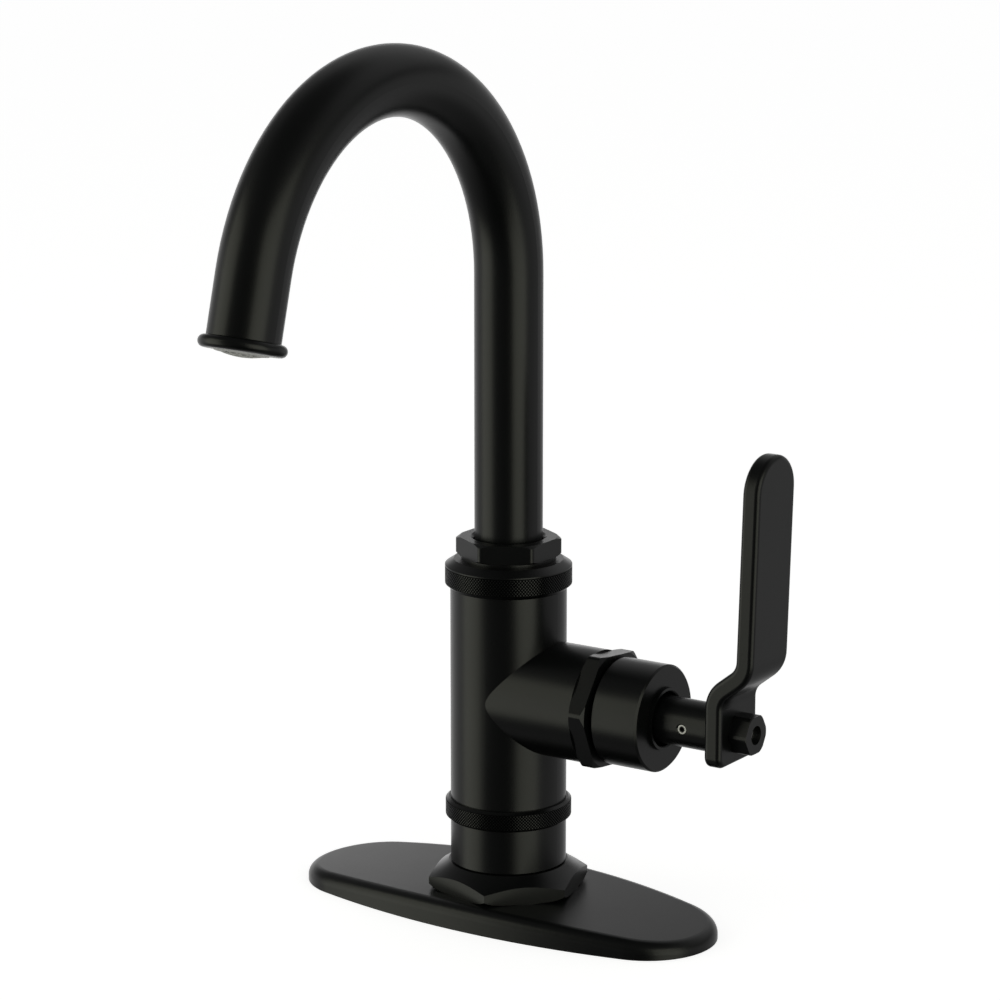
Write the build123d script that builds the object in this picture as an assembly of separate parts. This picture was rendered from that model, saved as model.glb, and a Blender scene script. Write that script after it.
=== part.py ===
"""Bar faucet: deck plate, turned body with a side valve, swivelling gooseneck spout and a lever.

Millimetres. The origin is on the deck surface, on the body's own axis. +Z is up, the spout points
to -Y and the valve and its lever to +X.
"""
import math
import os

from build123d import *

# Clearances
SEAT_GAP = 0.05        # between pieces that are screwed or pressed together
RUNNING_GAP = 0.08     # radial, round a shaft that turns
TURNING_GAP = 0.3      # between pieces of different bodies that pass each other
AXIAL_PLAY = 0.1       # end float of a part that turns

# Deck plate and its gasket
PLATE_LENGTH = 153.4
PLATE_WIDTH = 59.8
PLATE_END_RADIUS = 23.5
PLATE_HEIGHT = 8.4
PLATE_CROWN_RADIUS = 775.0
PLATE_WALL = 1.6
PLATE_EDGE_RADIUS = 3.8
DECK_HOLE_RADIUS = 17.3

# Threaded shank through the deck, with its nut
SHANK_RADIUS = 16.0
SHANK_LENGTH = 55.0
SHANK_WALL = 2.2
SHANK_TOP_LENGTH = 11.2
SHANK_REGISTER_RADIUS = 16.5
SHANK_REGISTER_LENGTH = 4.0
DECK_THICKNESS = 20.0
SHANK_GASKET_THICKNESS = 3.0
SHANK_WASHER_THICKNESS = 1.5
SHANK_WASHER_RADIUS = 26.0
LOCKNUT_THICKNESS = 8.0
LOCKNUT_FLATS = 44.0
LOCKNUT_CHAMFER = 1.6

# Base flange, a sloping ring with six flats
FLANGE_HEIGHT = 8.5
FLANGE_FLATS = 46.6
FLANGE_SHOULDER_RADIUS = 19.6
FLANGE_RIM_RADIUS = 27.3
FLANGE_RIM_HEIGHT = 2.0
FLANGE_RIM_LAND = 1.6
FLANGE_FOOT_RADIUS = 23.4
FLANGE_TOP_BOW = 0.4
FLANGE_FOOT_BOW = 0.6
FLANGE_TURN = -13.5
BASE_SEAL_RADIUS = 19.7
BASE_SEAL_WIRE = 0.9

# Body column: sleeve, two knurled rings and the turned body
BODY_RADIUS = 19.0
SPIGOT_RADIUS = 16.8
SLEEVE_LENGTH = 15.0
SLEEVE_EDGE = 0.5
RING_RADIUS = 20.7
LOWER_RING_HEIGHT = 6.7
LOWER_RING_CHAMFER = 0.8
BODY_LENGTH = 71.1
LOWER_BORE_RADIUS = 14.6
LOWER_BORE_HEIGHT = 18.6
UPPER_BORE_RADIUS = 14.3
UPPER_BORE_DEPTH = 20.0
NECK_RADIUS = 17.3
NECK_HEIGHT = 3.4
UPPER_RING_HEIGHT = 9.4
UPPER_RING_FOOT = 1.4
UPPER_RING_CONE_HEIGHT = 1.9
UPPER_RING_CONE_RADIUS = 17.8
UPPER_RING_LIP = 1.6
UPPER_RING_LIP_RADIUS = 15.4

# Water inlets and passages
INLET_RADIUS = 6.2
INLET_THREAD_RADIUS = 4.5
INLET_SPREAD = 6.9
INLET_LENGTH = 15.0
INLET_SEAT_DEPTH = 8.0
PORT_RADIUS = 2.2
PORT_PITCH_RADIUS = 8.0
PORT_ANGLE = 36.0
OUTLET_PORT_RADIUS = 3.0
RISER_RADIUS = 4.0

# Spout and its swivel
TUBE_RADIUS = 11.1
TUBE_WALL = 1.2
SPOUT_HEIGHT = 212.5
SPOUT_BEND_RADIUS = 67.9
SPOUT_BEND_ANGLE = 164.5
SPOUT_TIP_LENGTH = 18.8
TUBE_SOCKET_DEPTH = 16.0
PIVOT_FLANGE_RADIUS = 16.8
PIVOT_FLANGE_THICKNESS = 2.0
PIVOT_WATERWAY = 9.0
GLIDE_THICKNESS = 1.0
O_RING_WIRE = 1.0
O_RING_SPACING = 7.0
O_RING_HEIGHT = 4.5
SPOUT_NUT_FLATS = 30.2
SPOUT_NUT_HEIGHT = 6.2
SPOUT_NUT_CHAMFER = 1.7
SPOUT_NUT_NECK = 1.1
SPOUT_NUT_COUNTERSINK = 0.9

# Outlet ring and aerator
OUTLET_RING_RADIUS = 13.2
OUTLET_RING_HEIGHT = 3.8
OUTLET_SPIGOT_LENGTH = 9.0
OUTLET_SPIGOT_WALL = 0.9
AERATOR_RIM_RADIUS = 10.2
AERATOR_RIM_HEIGHT = 3.2
AERATOR_WALL = 0.9
SCREEN_RADIUS = 8.75
SCREEN_RISE = 1.7
SCREEN_FOOT = 1.4
SCREEN_THICKNESS = 1.1
SCREEN_CELL = 1.3
SCREEN_PITCH = 3.3
SCREEN_RINGS = 2
FLOW_DISC_THICKNESS = 1.6
FLOW_DISC_HOLES = 8
FLOW_DISC_HOLE_RADIUS = 0.8
AERATOR_WASHER_THICKNESS = 1.4

# Valve branch, bonnet nut and cap, on an axis along +X
VALVE_RISE = 35.8
BRANCH_RADIUS = 18.7
BRANCH_LENGTH = 35.5
BRANCH_THREAD_RADIUS = 15.7
BRANCH_THREAD_LENGTH = 4.2
BONNET_FLATS = 36.0
BONNET_THICKNESS = 5.8
BONNET_FRONT_WALL = 1.4
BONNET_CHAMFER = 1.7
BONNET_TURN = 6.0
BONNET_SPIGOT_RADIUS = 14.5
BONNET_SPIGOT_LENGTH = 6.0
CAP_GAP = 1.2
CAP_RADIUS = 17.4
CAP_LENGTH = 17.0
CAP_FACE_WALL = 3.0
CAP_EDGE = 0.6
CAP_HOLE_RADIUS = 8.9
CAP_HOLE_CHAMFER = 0.4
CAP_LIP_RADIUS = 10.2
CAP_LIP_HEIGHT = 1.2

# Ceramic cartridge
CARTRIDGE_SEAT = 13.0
CARTRIDGE_WALL = 1.6
CARTRIDGE_BASE_THICKNESS = 4.5
FIXED_DISC_THICKNESS = 3.2
MOVING_DISC_THICKNESS = 3.5
DISC_RIM = 1.0
DISC_GAP = 0.6
DISC_EDGE = 0.4
MIXING_DEPTH = 1.8
MIXING_INNER_RADIUS = 3.2
MIXING_SECTOR = 50.0
MIXING_START = -106.0
DRIVE_LUG_LENGTH = 1.6
DRIVE_LUG_WIDTH = 3.0
DRIVE_LUG_HEIGHT = 5.0
DRIVE_LUG_RADIUS = 6.5
SPINDLE_FLANGE_RADIUS = 10.4
SPINDLE_FLANGE_THICKNESS = 3.8
SPINDLE_RADIUS = 5.0
HOUSING_FRONT_WALL = 4.6
HOUSING_NECK_RADIUS = 8.0
SPLINE_RADIUS = 4.2
SPLINE_FLAT = 3.3
SPINDLE_SEAL_WIRE = 0.8
PORT_SEAL_RADIUS = 3.0
PORT_SEAL_WIRE = 0.7
STOP_DEPTH = 1.0
STOP_LUG_ANGLE = 24.0
STOP_MARGIN = 2.0
LEVER_TRAVEL = 100.0

# Lever and its stem
STEM_RADIUS = 7.8
STEM_REACH = 21.3
STEM_INSERT = 8.5
STEM_EDGE = 0.4
STEM_END_WALL = 1.6
NECK_TO_STEM = 1.0
SET_SCREW_REACH = 11.0
SET_SCREW_RADIUS = 1.5
SET_SCREW_SINK = 0.5
SET_SCREW_KEY = 1.5
SET_SCREW_KEY_DEPTH = 1.2
SET_SCREW_MOUTH = 0.45
SQUARE_DRIVE = 7.6
SQUARE_DRIVE_LENGTH = 4.6
LEVER_WIDTH = 23.2
LEVER_THICKNESS = 6.1
LEVER_TAIL = 9.9
LEVER_FOOT_RADIUS = 3.5
LEVER_HEIGHT = 90.7
LEVER_BEND_START = 13.5
LEVER_BEND_RISE = 8.6
LEVER_OFFSET = 10.9
LEVER_LEAN = 1.6
LEVER_BEND_RADIUS = 8.5
LEVER_EDGE = 1.6
STUD_RADIUS = 3.0
STUD_RECESS = 2.0
STUD_HOLD = 4.4
LEVER_NUT_FLATS = 12.0
LEVER_NUT_THICKNESS = 6.4
LEVER_NUT_CHAMFER = 0.7

# Heights of the stacked pieces
FLANGE_Z = PLATE_HEIGHT
SLEEVE_Z = FLANGE_Z + FLANGE_HEIGHT
LOWER_RING_Z = SLEEVE_Z + SLEEVE_LENGTH
BODY_Z = LOWER_RING_Z + LOWER_RING_HEIGHT
BODY_TOP = BODY_Z + BODY_LENGTH
NECK_TOP = BODY_TOP + NECK_HEIGHT
VALVE_Z = BODY_Z + VALVE_RISE
UPPER_RING_TOP = BODY_TOP + UPPER_RING_HEIGHT
LIP_Z = UPPER_RING_TOP - UPPER_RING_LIP
PIVOT_FLANGE_Z = NECK_TOP + GLIDE_THICKNESS + AXIAL_PLAY
PIVOT_TOP = PIVOT_FLANGE_Z + PIVOT_FLANGE_THICKNESS
UPPER_BORE_Z = BODY_TOP - UPPER_BORE_DEPTH
SPIGOT_Z = PLATE_HEIGHT + SEAT_GAP
LOWER_BORE_TOP = SPIGOT_Z + LOWER_BORE_HEIGHT
SPOUT_NUT_Z = UPPER_RING_TOP + SPOUT_NUT_NECK

# Distances along the valve axis, from the body's axis
BONNET_T = BRANCH_LENGTH
BONNET_FRONT_T = BONNET_T + BONNET_THICKNESS
CAP_T = BONNET_FRONT_T + CAP_GAP
CAP_FACE_T = CAP_T + CAP_LENGTH
LEVER_T = CAP_FACE_T + STEM_REACH
STEM_T = CAP_FACE_T - STEM_INSERT
FIXED_DISC_T = CARTRIDGE_SEAT + CARTRIDGE_BASE_THICKNESS
MOVING_DISC_T = FIXED_DISC_T + FIXED_DISC_THICKNESS + SEAT_GAP
SPINDLE_T = MOVING_DISC_T + MOVING_DISC_THICKNESS + SEAT_GAP
FLANGE_FRONT_T = SPINDLE_T + SPINDLE_FLANGE_THICKNESS
HOUSING_SHOULDER_T = FLANGE_FRONT_T + AXIAL_PLAY + HOUSING_FRONT_WALL
HOUSING_NECK_T = STEM_T - NECK_TO_STEM
SPLINE_END_T = LEVER_T - STEM_END_WALL - STUD_HOLD
SET_SCREW_T = CAP_FACE_T + SET_SCREW_REACH

# Radii that follow from a fit
PIVOT_RADIUS = UPPER_BORE_RADIUS - RUNNING_GAP
TUBE_BORE = TUBE_RADIUS - TUBE_WALL
MIXING_OUTER_RADIUS = PORT_PITCH_RADIUS + PORT_RADIUS
DISC_RADIUS = MIXING_OUTER_RADIUS + DISC_RIM
HOUSING_BORE = DISC_RADIUS + DISC_GAP
CARTRIDGE_RADIUS = HOUSING_BORE + CARTRIDGE_WALL
CARTRIDGE_BORE = CARTRIDGE_RADIUS + SEAT_GAP
SHANK_TOP_RADIUS = LOWER_BORE_RADIUS - SEAT_GAP
SHANK_BORE = SHANK_RADIUS - SHANK_WALL
SPLINE_BORE = SPLINE_RADIUS + SEAT_GAP
AERATOR_RADIUS = TUBE_BORE - OUTLET_SPIGOT_WALL - 2 * SEAT_GAP

# The valve's own frame: its Z runs out along +X, its X points down
VALVE = Location((0, 0, VALVE_Z), (0, 90, 0))
# The spout's drawing plane: across is forward (-Y), up is +Z
SPOUT_PLANE = Plane(origin=(0, 0, 0), x_dir=(0, -1, 0), z_dir=(-1, 0, 0))


def turned(*corners):
    """Solid of revolution about Z from an outline of (radius, height) corners."""
    outline = Polyline(*[(radius, 0, height) for radius, height in corners], close=True)
    return revolve(make_face(outline), Axis.Z)


def ring(outer, inner, bottom, top):
    """Plain ring between two heights."""
    return turned((inner, bottom), (outer, bottom), (outer, top), (inner, top))


def rod(radius, bottom, top):
    """Plain cylinder on Z between two heights."""
    return Pos(0, 0, bottom) * Cylinder(radius, top - bottom, align=(Align.CENTER, Align.CENTER, Align.MIN))


def hexagon(flats, bottom, top, turn=0.0):
    """Hexagonal prism on Z, a corner at the angle turn."""
    outline = Rot(0, 0, turn) * RegularPolygon(flats / 2, 6, major_radius=False)
    return Pos(0, 0, bottom) * extrude(outline, top - bottom)


def corner_radius(flats):
    """Distance from a hexagon's centre to its corners."""
    return flats / 2 / math.cos(math.radians(30))


def chamfered_hexagon(flats, bottom, top, chamfer, turn=0.0):
    """Hexagonal prism whose corners are turned off at both ends."""
    corner = corner_radius(flats)
    cone = chamfer * math.tan(math.radians(30))
    blank = turned(
        (0, bottom),
        (corner - chamfer, bottom),
        (corner, bottom + cone),
        (corner, top - cone),
        (corner - chamfer, top),
        (0, top),
    )
    return hexagon(flats, bottom, top, turn) & blank


def torus_ring(radius, wire, height):
    """O-ring lying flat at a height."""
    return Pos(0, 0, height) * Torus(radius, wire)


def oval(length, width, end_radius):
    """Four-arc oval: two small end arcs joined by two large tangent side arcs."""
    half_width = width / 2
    end_centre = length / 2 - end_radius
    rise = half_width - end_radius
    side_centre = (end_centre**2 - rise**2) / (2 * rise)
    lean = math.atan2(side_centre, end_centre)
    x = end_centre + end_radius * math.cos(lean)
    y = end_radius * math.sin(lean)
    outline = [
        ThreePointArc((x, y), (0, half_width), (-x, y)),
        ThreePointArc((-x, y), (-length / 2, 0), (-x, -y)),
        ThreePointArc((-x, -y), (0, -half_width), (x, -y)),
        ThreePointArc((x, -y), (length / 2, 0), (x, y)),
    ]
    return make_face(outline)


def crowned_oval(inset):
    """Oval slab, set in from the plate's outline and its crowned top, with a rounded top edge."""
    face = oval(PLATE_LENGTH - 2 * inset, PLATE_WIDTH - 2 * inset, PLATE_END_RADIUS - inset)
    crown = Cylinder(PLATE_CROWN_RADIUS - inset, PLATE_WIDTH, rotation=(90, 0, 0))
    slab = extrude(face, PLATE_HEIGHT) & Pos(0, 0, PLATE_HEIGHT - PLATE_CROWN_RADIUS) * crown
    top = slab.faces().filter_by(GeomType.CYLINDER).sort_by(SortBy.AREA)[-1]
    return fillet(top.edges(), PLATE_EDGE_RADIUS - inset)


def deck_plate():
    """Crowned cover plate, open underneath, with a flat land for the base flange."""
    plate = crowned_oval(0) + rod(FLANGE_FOOT_RADIUS, PLATE_HEIGHT - PLATE_WALL, PLATE_HEIGHT)
    return plate - crowned_oval(PLATE_WALL) - rod(DECK_HOLE_RADIUS, 0, PLATE_HEIGHT)


def deck_gasket():
    """Moulded pad that fills the plate and seals it to the deck."""
    return crowned_oval(PLATE_WALL + SEAT_GAP) - rod(DECK_HOLE_RADIUS, 0, PLATE_HEIGHT)


def seal_groove_depth():
    """Depth of the groove that holds the seal under the base flange."""
    return 2 * BASE_SEAL_WIRE


def bowed_line(start, end, bow):
    """Arc between two (radius, height) points, its middle moved to the right of the way by bow."""
    along = (end[0] - start[0], end[1] - start[1])
    reach = math.hypot(*along)
    middle_radius = (start[0] + end[0]) / 2 + bow * along[1] / reach
    middle_height = (start[1] + end[1]) / 2 - bow * along[0] / reach
    return ThreePointArc(
        (start[0], 0, start[1]), (middle_radius, 0, middle_height), (end[0], 0, end[1])
    )


def base_flange():
    """Sloping ring with six flats and a rounded foot, standing on the deck plate."""
    bore = SPIGOT_RADIUS + SEAT_GAP
    top = SLEEVE_Z
    foot = (FLANGE_FOOT_RADIUS, FLANGE_Z)
    rim_bottom = (FLANGE_RIM_RADIUS, FLANGE_Z + FLANGE_RIM_HEIGHT)
    rim_top = (FLANGE_RIM_RADIUS, FLANGE_Z + FLANGE_RIM_HEIGHT + FLANGE_RIM_LAND)
    shoulder = (FLANGE_SHOULDER_RADIUS, top)
    outline = [
        bowed_line(foot, rim_bottom, FLANGE_FOOT_BOW),
        Line((rim_bottom[0], 0, rim_bottom[1]), (rim_top[0], 0, rim_top[1])),
        bowed_line(rim_top, shoulder, -FLANGE_TOP_BOW),
        Polyline(
            (FLANGE_SHOULDER_RADIUS, 0, top),
            (bore, 0, top),
            (bore, 0, FLANGE_Z),
            (FLANGE_FOOT_RADIUS, 0, FLANGE_Z),
        ),
    ]
    blank = revolve(make_face(outline), Axis.Z)
    groove = ring(
        BASE_SEAL_RADIUS + BASE_SEAL_WIRE + SEAT_GAP,
        BASE_SEAL_RADIUS - BASE_SEAL_WIRE - SEAT_GAP,
        FLANGE_Z,
        FLANGE_Z + seal_groove_depth(),
    )
    return (blank & hexagon(FLANGE_FLATS, FLANGE_Z, top, FLANGE_TURN)) - groove


def base_seal():
    """O-ring between the base flange and the deck plate."""
    return torus_ring(BASE_SEAL_RADIUS, BASE_SEAL_WIRE, FLANGE_Z + BASE_SEAL_WIRE)


def lower_sleeve():
    """Plain collar between the base flange and the lower knurled ring."""
    bore = SPIGOT_RADIUS + SEAT_GAP
    return turned(
        (bore, SLEEVE_Z),
        (BODY_RADIUS - SLEEVE_EDGE, SLEEVE_Z),
        (BODY_RADIUS, SLEEVE_Z + SLEEVE_EDGE),
        (BODY_RADIUS, LOWER_RING_Z),
        (bore, LOWER_RING_Z),
    )


def lower_knurled_ring():
    """Grip ring under the body, its two edges chamfered."""
    bore = SPIGOT_RADIUS + SEAT_GAP
    edge = RING_RADIUS - LOWER_RING_CHAMFER
    return turned(
        (bore, LOWER_RING_Z),
        (edge, LOWER_RING_Z),
        (RING_RADIUS, LOWER_RING_Z + LOWER_RING_CHAMFER),
        (RING_RADIUS, BODY_Z - LOWER_RING_CHAMFER),
        (edge, BODY_Z),
        (bore, BODY_Z),
    )


def upper_knurled_ring():
    """Cap ring that screws on the body's neck and holds the spout down by its lip."""
    bore = NECK_RADIUS + SEAT_GAP
    lip = UPPER_RING_LIP_RADIUS
    return turned(
        (bore, BODY_TOP),
        (RING_RADIUS - UPPER_RING_FOOT, BODY_TOP),
        (RING_RADIUS, BODY_TOP + UPPER_RING_FOOT),
        (RING_RADIUS, UPPER_RING_TOP - UPPER_RING_CONE_HEIGHT),
        (UPPER_RING_CONE_RADIUS, UPPER_RING_TOP),
        (lip, UPPER_RING_TOP),
        (lip, LIP_Z),
        (bore, LIP_Z),
    )


def inlet_sides():
    """The cold and hot sides of the body: -1 towards the front, +1 towards the back."""
    return {"cold": -1, "hot": 1}


def port_drop():
    """How far the two inlet ports lie below the valve axis."""
    return PORT_PITCH_RADIUS * math.cos(math.radians(PORT_ANGLE))


def port_side():
    """How far the two inlet ports lie to either side of the valve axis."""
    return PORT_PITCH_RADIUS * math.sin(math.radians(PORT_ANGLE))


def water_passages():
    """Drilled ways: each inlet up and out to the cartridge, and the mixed water up to the spout."""
    passages = VALVE * rod(OUTLET_PORT_RADIUS, 0, CARTRIDGE_SEAT)
    passages += rod(RISER_RADIUS, VALVE_Z, UPPER_BORE_Z)
    for side in inlet_sides().values():
        passages += Pos(0, side * port_side(), 0) * rod(PORT_RADIUS, LOWER_BORE_TOP, VALVE_Z - port_drop())
        drilled = Pos(port_drop(), side * port_side(), 0) * rod(PORT_RADIUS, 0, CARTRIDGE_SEAT)
        passages += VALVE * drilled
        seat = rod(INLET_RADIUS + SEAT_GAP, LOWER_BORE_TOP, LOWER_BORE_TOP + INLET_SEAT_DEPTH)
        passages += Pos(0, side * INLET_SPREAD, 0) * seat
    return passages


def body():
    """Turned column with its spigot, neck and side branch, bored and drilled for the water."""
    column = turned(
        (0, SPIGOT_Z),
        (SPIGOT_RADIUS, SPIGOT_Z),
        (SPIGOT_RADIUS, BODY_Z),
        (BODY_RADIUS, BODY_Z),
        (BODY_RADIUS, BODY_TOP),
        (NECK_RADIUS, BODY_TOP),
        (NECK_RADIUS, NECK_TOP),
        (0, NECK_TOP),
    )
    branch = rod(BRANCH_RADIUS, 0, BRANCH_LENGTH)
    branch += rod(BRANCH_THREAD_RADIUS, BRANCH_LENGTH, BRANCH_LENGTH + BRANCH_THREAD_LENGTH)
    cartridge_bore = rod(CARTRIDGE_BORE, CARTRIDGE_SEAT, BRANCH_LENGTH + BRANCH_THREAD_LENGTH)
    solid = column + VALVE * branch
    solid -= VALVE * cartridge_bore
    solid -= rod(LOWER_BORE_RADIUS, SPIGOT_Z, LOWER_BORE_TOP)
    solid -= rod(UPPER_BORE_RADIUS, UPPER_BORE_Z, NECK_TOP)
    return solid - water_passages()


def inlet(side):
    """Threaded socket for one supply hose, screwed up into the body."""
    bottom = LOWER_BORE_TOP + INLET_SEAT_DEPTH - INLET_LENGTH
    socket = ring(INLET_RADIUS, INLET_THREAD_RADIUS, bottom, bottom + INLET_LENGTH)
    return Pos(0, side * INLET_SPREAD, 0) * socket


def shank():
    """Threaded tube below the deck, its plain top centred in the deck's hole, screwed into the body."""
    collar = SPIGOT_RADIUS
    top_bore = SHANK_TOP_RADIUS - SHANK_WALL
    top = SPIGOT_Z + SHANK_TOP_LENGTH
    return turned(
        (SHANK_BORE, -SHANK_LENGTH),
        (SHANK_RADIUS, -SHANK_LENGTH),
        (SHANK_RADIUS, -SHANK_REGISTER_LENGTH),
        (SHANK_REGISTER_RADIUS, -SHANK_REGISTER_LENGTH),
        (SHANK_REGISTER_RADIUS, 0),
        (collar, 0),
        (collar, SPIGOT_Z - SEAT_GAP),
        (SHANK_TOP_RADIUS, SPIGOT_Z - SEAT_GAP),
        (SHANK_TOP_RADIUS, top),
        (top_bore, top),
        (top_bore, 0),
        (SHANK_BORE, 0),
    )


def deck_clamp_parts():
    """Rubber gasket, steel washer and hexagonal locknut that pull the shank down on the deck."""
    bore = SHANK_RADIUS + RUNNING_GAP
    gasket_top = -DECK_THICKNESS
    washer_top = gasket_top - SHANK_GASKET_THICKNESS
    nut_top = washer_top - SHANK_WASHER_THICKNESS
    nut_bottom = nut_top - LOCKNUT_THICKNESS
    nut = chamfered_hexagon(LOCKNUT_FLATS, nut_bottom, nut_top, LOCKNUT_CHAMFER)
    return {
        "shank_gasket": ring(SHANK_WASHER_RADIUS, bore, washer_top, gasket_top),
        "shank_washer": ring(SHANK_WASHER_RADIUS, bore, nut_top, washer_top),
        "locknut": nut - rod(bore, nut_bottom, nut_top),
    }


def glide_rings():
    """Two slippery rings, one under and one over the flange that the spout turns on."""
    inner = UPPER_BORE_RADIUS + TURNING_GAP
    outer = NECK_RADIUS - SEAT_GAP
    return {
        "lower_glide_ring": ring(outer, inner, NECK_TOP, NECK_TOP + GLIDE_THICKNESS),
        "upper_glide_ring": ring(outer, inner, LIP_Z - GLIDE_THICKNESS, LIP_Z),
    }


def o_ring_heights():
    """Heights of the two O-rings on the spout's pivot."""
    first = UPPER_BORE_Z + O_RING_HEIGHT
    return [first, first + O_RING_SPACING]


def o_ring_radius():
    """Centre-line radius of the pivot's O-rings, just inside the bore."""
    return PIVOT_RADIUS - O_RING_WIRE


def spout_pivot():
    """Brass bush at the foot of the spout, with O-ring grooves and a flange to turn on."""
    bottom = UPPER_BORE_Z + AXIAL_PLAY
    socket_floor = PIVOT_TOP - TUBE_SOCKET_DEPTH
    bush = turned(
        (PIVOT_WATERWAY, bottom),
        (PIVOT_RADIUS, bottom),
        (PIVOT_RADIUS, PIVOT_FLANGE_Z),
        (PIVOT_FLANGE_RADIUS, PIVOT_FLANGE_Z),
        (PIVOT_FLANGE_RADIUS, PIVOT_TOP),
        (TUBE_RADIUS + SEAT_GAP, PIVOT_TOP),
        (TUBE_RADIUS + SEAT_GAP, socket_floor),
        (PIVOT_WATERWAY, socket_floor),
    )
    groove_half = O_RING_WIRE + SEAT_GAP
    groove_floor = o_ring_radius() - O_RING_WIRE
    for height in o_ring_heights():
        bush -= ring(UPPER_BORE_RADIUS, groove_floor, height - groove_half, height + groove_half)
    return bush


def spout_o_rings():
    """The two seals of the swivel."""
    return Compound([torus_ring(o_ring_radius(), O_RING_WIRE, height) for height in o_ring_heights()])


def spout_path():
    """Centre line of the spout: up, over the bend and down the short tip."""
    foot = PIVOT_TOP - TUBE_SOCKET_DEPTH
    rise = Line((0, foot), (0, SPOUT_HEIGHT))
    bend = JernArc((0, SPOUT_HEIGHT), (0, 1), SPOUT_BEND_RADIUS, -SPOUT_BEND_ANGLE)
    tip = Line(bend @ 1, bend @ 1 + SPOUT_TIP_LENGTH * (bend % 1))
    return SPOUT_PLANE * Wire([rise, bend, tip])


def spout_tube():
    """Bent round tube, one section along the whole path."""
    path = spout_path()
    section = Plane(origin=path @ 0, z_dir=path % 0) * (Circle(TUBE_RADIUS) - Circle(TUBE_BORE))
    return sweep(section, path)


def spout_nut():
    """Hexagonal gland nut round the foot of the spout, on the upper ring."""
    top = SPOUT_NUT_Z + SPOUT_NUT_HEIGHT
    bore = TUBE_RADIUS + TURNING_GAP
    nut = chamfered_hexagon(SPOUT_NUT_FLATS, SPOUT_NUT_Z, top, SPOUT_NUT_CHAMFER, turn=30)
    nut += rod(UPPER_RING_LIP_RADIUS - SEAT_GAP, LIP_Z + AXIAL_PLAY, SPOUT_NUT_Z)
    countersink = turned(
        (0, top - SPOUT_NUT_COUNTERSINK),
        (bore, top - SPOUT_NUT_COUNTERSINK),
        (bore + SPOUT_NUT_COUNTERSINK, top),
        (0, top),
    )
    return nut - rod(bore, LIP_Z, top) - countersink


def tip_frame():
    """Plane at the end of the tube, its normal along the water."""
    path = spout_path()
    return Plane(origin=path @ 1, x_dir=(1, 0, 0), z_dir=path % 1)


def outlet_ring():
    """Beaded ring on the end of the spout, with a sleeve inside the tube for the aerator."""
    sleeve = TUBE_BORE - SEAT_GAP
    inner = sleeve - OUTLET_SPIGOT_WALL
    half = OUTLET_RING_HEIGHT / 2
    crown = OUTLET_RING_RADIUS - half
    seat = AERATOR_RIM_RADIUS + SEAT_GAP
    outline = [
        Line((seat, 0, OUTLET_RING_HEIGHT), (crown, 0, OUTLET_RING_HEIGHT)),
        ThreePointArc((crown, 0, OUTLET_RING_HEIGHT), (OUTLET_RING_RADIUS, 0, half), (crown, 0, 0)),
        Polyline(
            (crown, 0, 0),
            (sleeve, 0, 0),
            (sleeve, 0, -OUTLET_SPIGOT_LENGTH),
            (inner, 0, -OUTLET_SPIGOT_LENGTH),
            (inner, 0, OUTLET_RING_HEIGHT - AERATOR_RIM_HEIGHT - SEAT_GAP),
            (seat, 0, OUTLET_RING_HEIGHT - AERATOR_RIM_HEIGHT - SEAT_GAP),
            (seat, 0, OUTLET_RING_HEIGHT),
        ),
    ]
    return revolve(make_face(outline), Axis.Z)


def aerator_screen():
    """Domed grid at the mouth of the aerator, its foot let into the barrel's rim."""
    foot = OUTLET_RING_HEIGHT - SCREEN_FOOT
    crown = OUTLET_RING_HEIGHT + SCREEN_RISE
    dome = (SCREEN_RADIUS**2 + SCREEN_RISE**2) / (2 * SCREEN_RISE)
    centre = Pos(0, 0, crown - dome)
    hollow = rod(SCREEN_RADIUS - SCREEN_THICKNESS, foot, crown) & centre * Sphere(dome - SCREEN_THICKNESS)
    screen = (rod(SCREEN_RADIUS, foot, crown) & centre * Sphere(dome)) - hollow
    cell = hexagon(2 * SCREEN_CELL, foot, crown)
    for place in HexLocations(SCREEN_PITCH / 2, 2 * SCREEN_RINGS + 1, 2 * SCREEN_RINGS + 1):
        if place.position.length < SCREEN_RADIUS - SCREEN_PITCH / 2:
            screen -= place * cell
    return screen


def aerator_parts():
    """Aerator: rimmed barrel, domed screen at its mouth, flow disc and washer at its back."""
    rim_back = OUTLET_RING_HEIGHT - AERATOR_RIM_HEIGHT
    screen_seat = SCREEN_RADIUS + SEAT_GAP
    seat_floor = OUTLET_RING_HEIGHT - SCREEN_FOOT
    bore = AERATOR_RADIUS - AERATOR_WALL
    back = -OUTLET_SPIGOT_LENGTH + AERATOR_WASHER_THICKNESS
    barrel = turned(
        (bore, back),
        (AERATOR_RADIUS, back),
        (AERATOR_RADIUS, rim_back),
        (AERATOR_RIM_RADIUS, rim_back),
        (AERATOR_RIM_RADIUS, OUTLET_RING_HEIGHT),
        (screen_seat, OUTLET_RING_HEIGHT),
        (screen_seat, seat_floor),
        (bore, seat_floor),
    )
    disc_top = back + FLOW_DISC_THICKNESS
    flow_disc = rod(bore - SEAT_GAP, back, disc_top)
    hole = rod(FLOW_DISC_HOLE_RADIUS, back, disc_top)
    for place in PolarLocations(bore / 2, FLOW_DISC_HOLES):
        flow_disc -= place * hole
    return {
        "aerator_housing": barrel,
        "aerator_screen": aerator_screen(),
        "aerator_flow_disc": flow_disc,
        "aerator_washer": ring(AERATOR_RADIUS, bore, -OUTLET_SPIGOT_LENGTH, back),
    }


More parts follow.
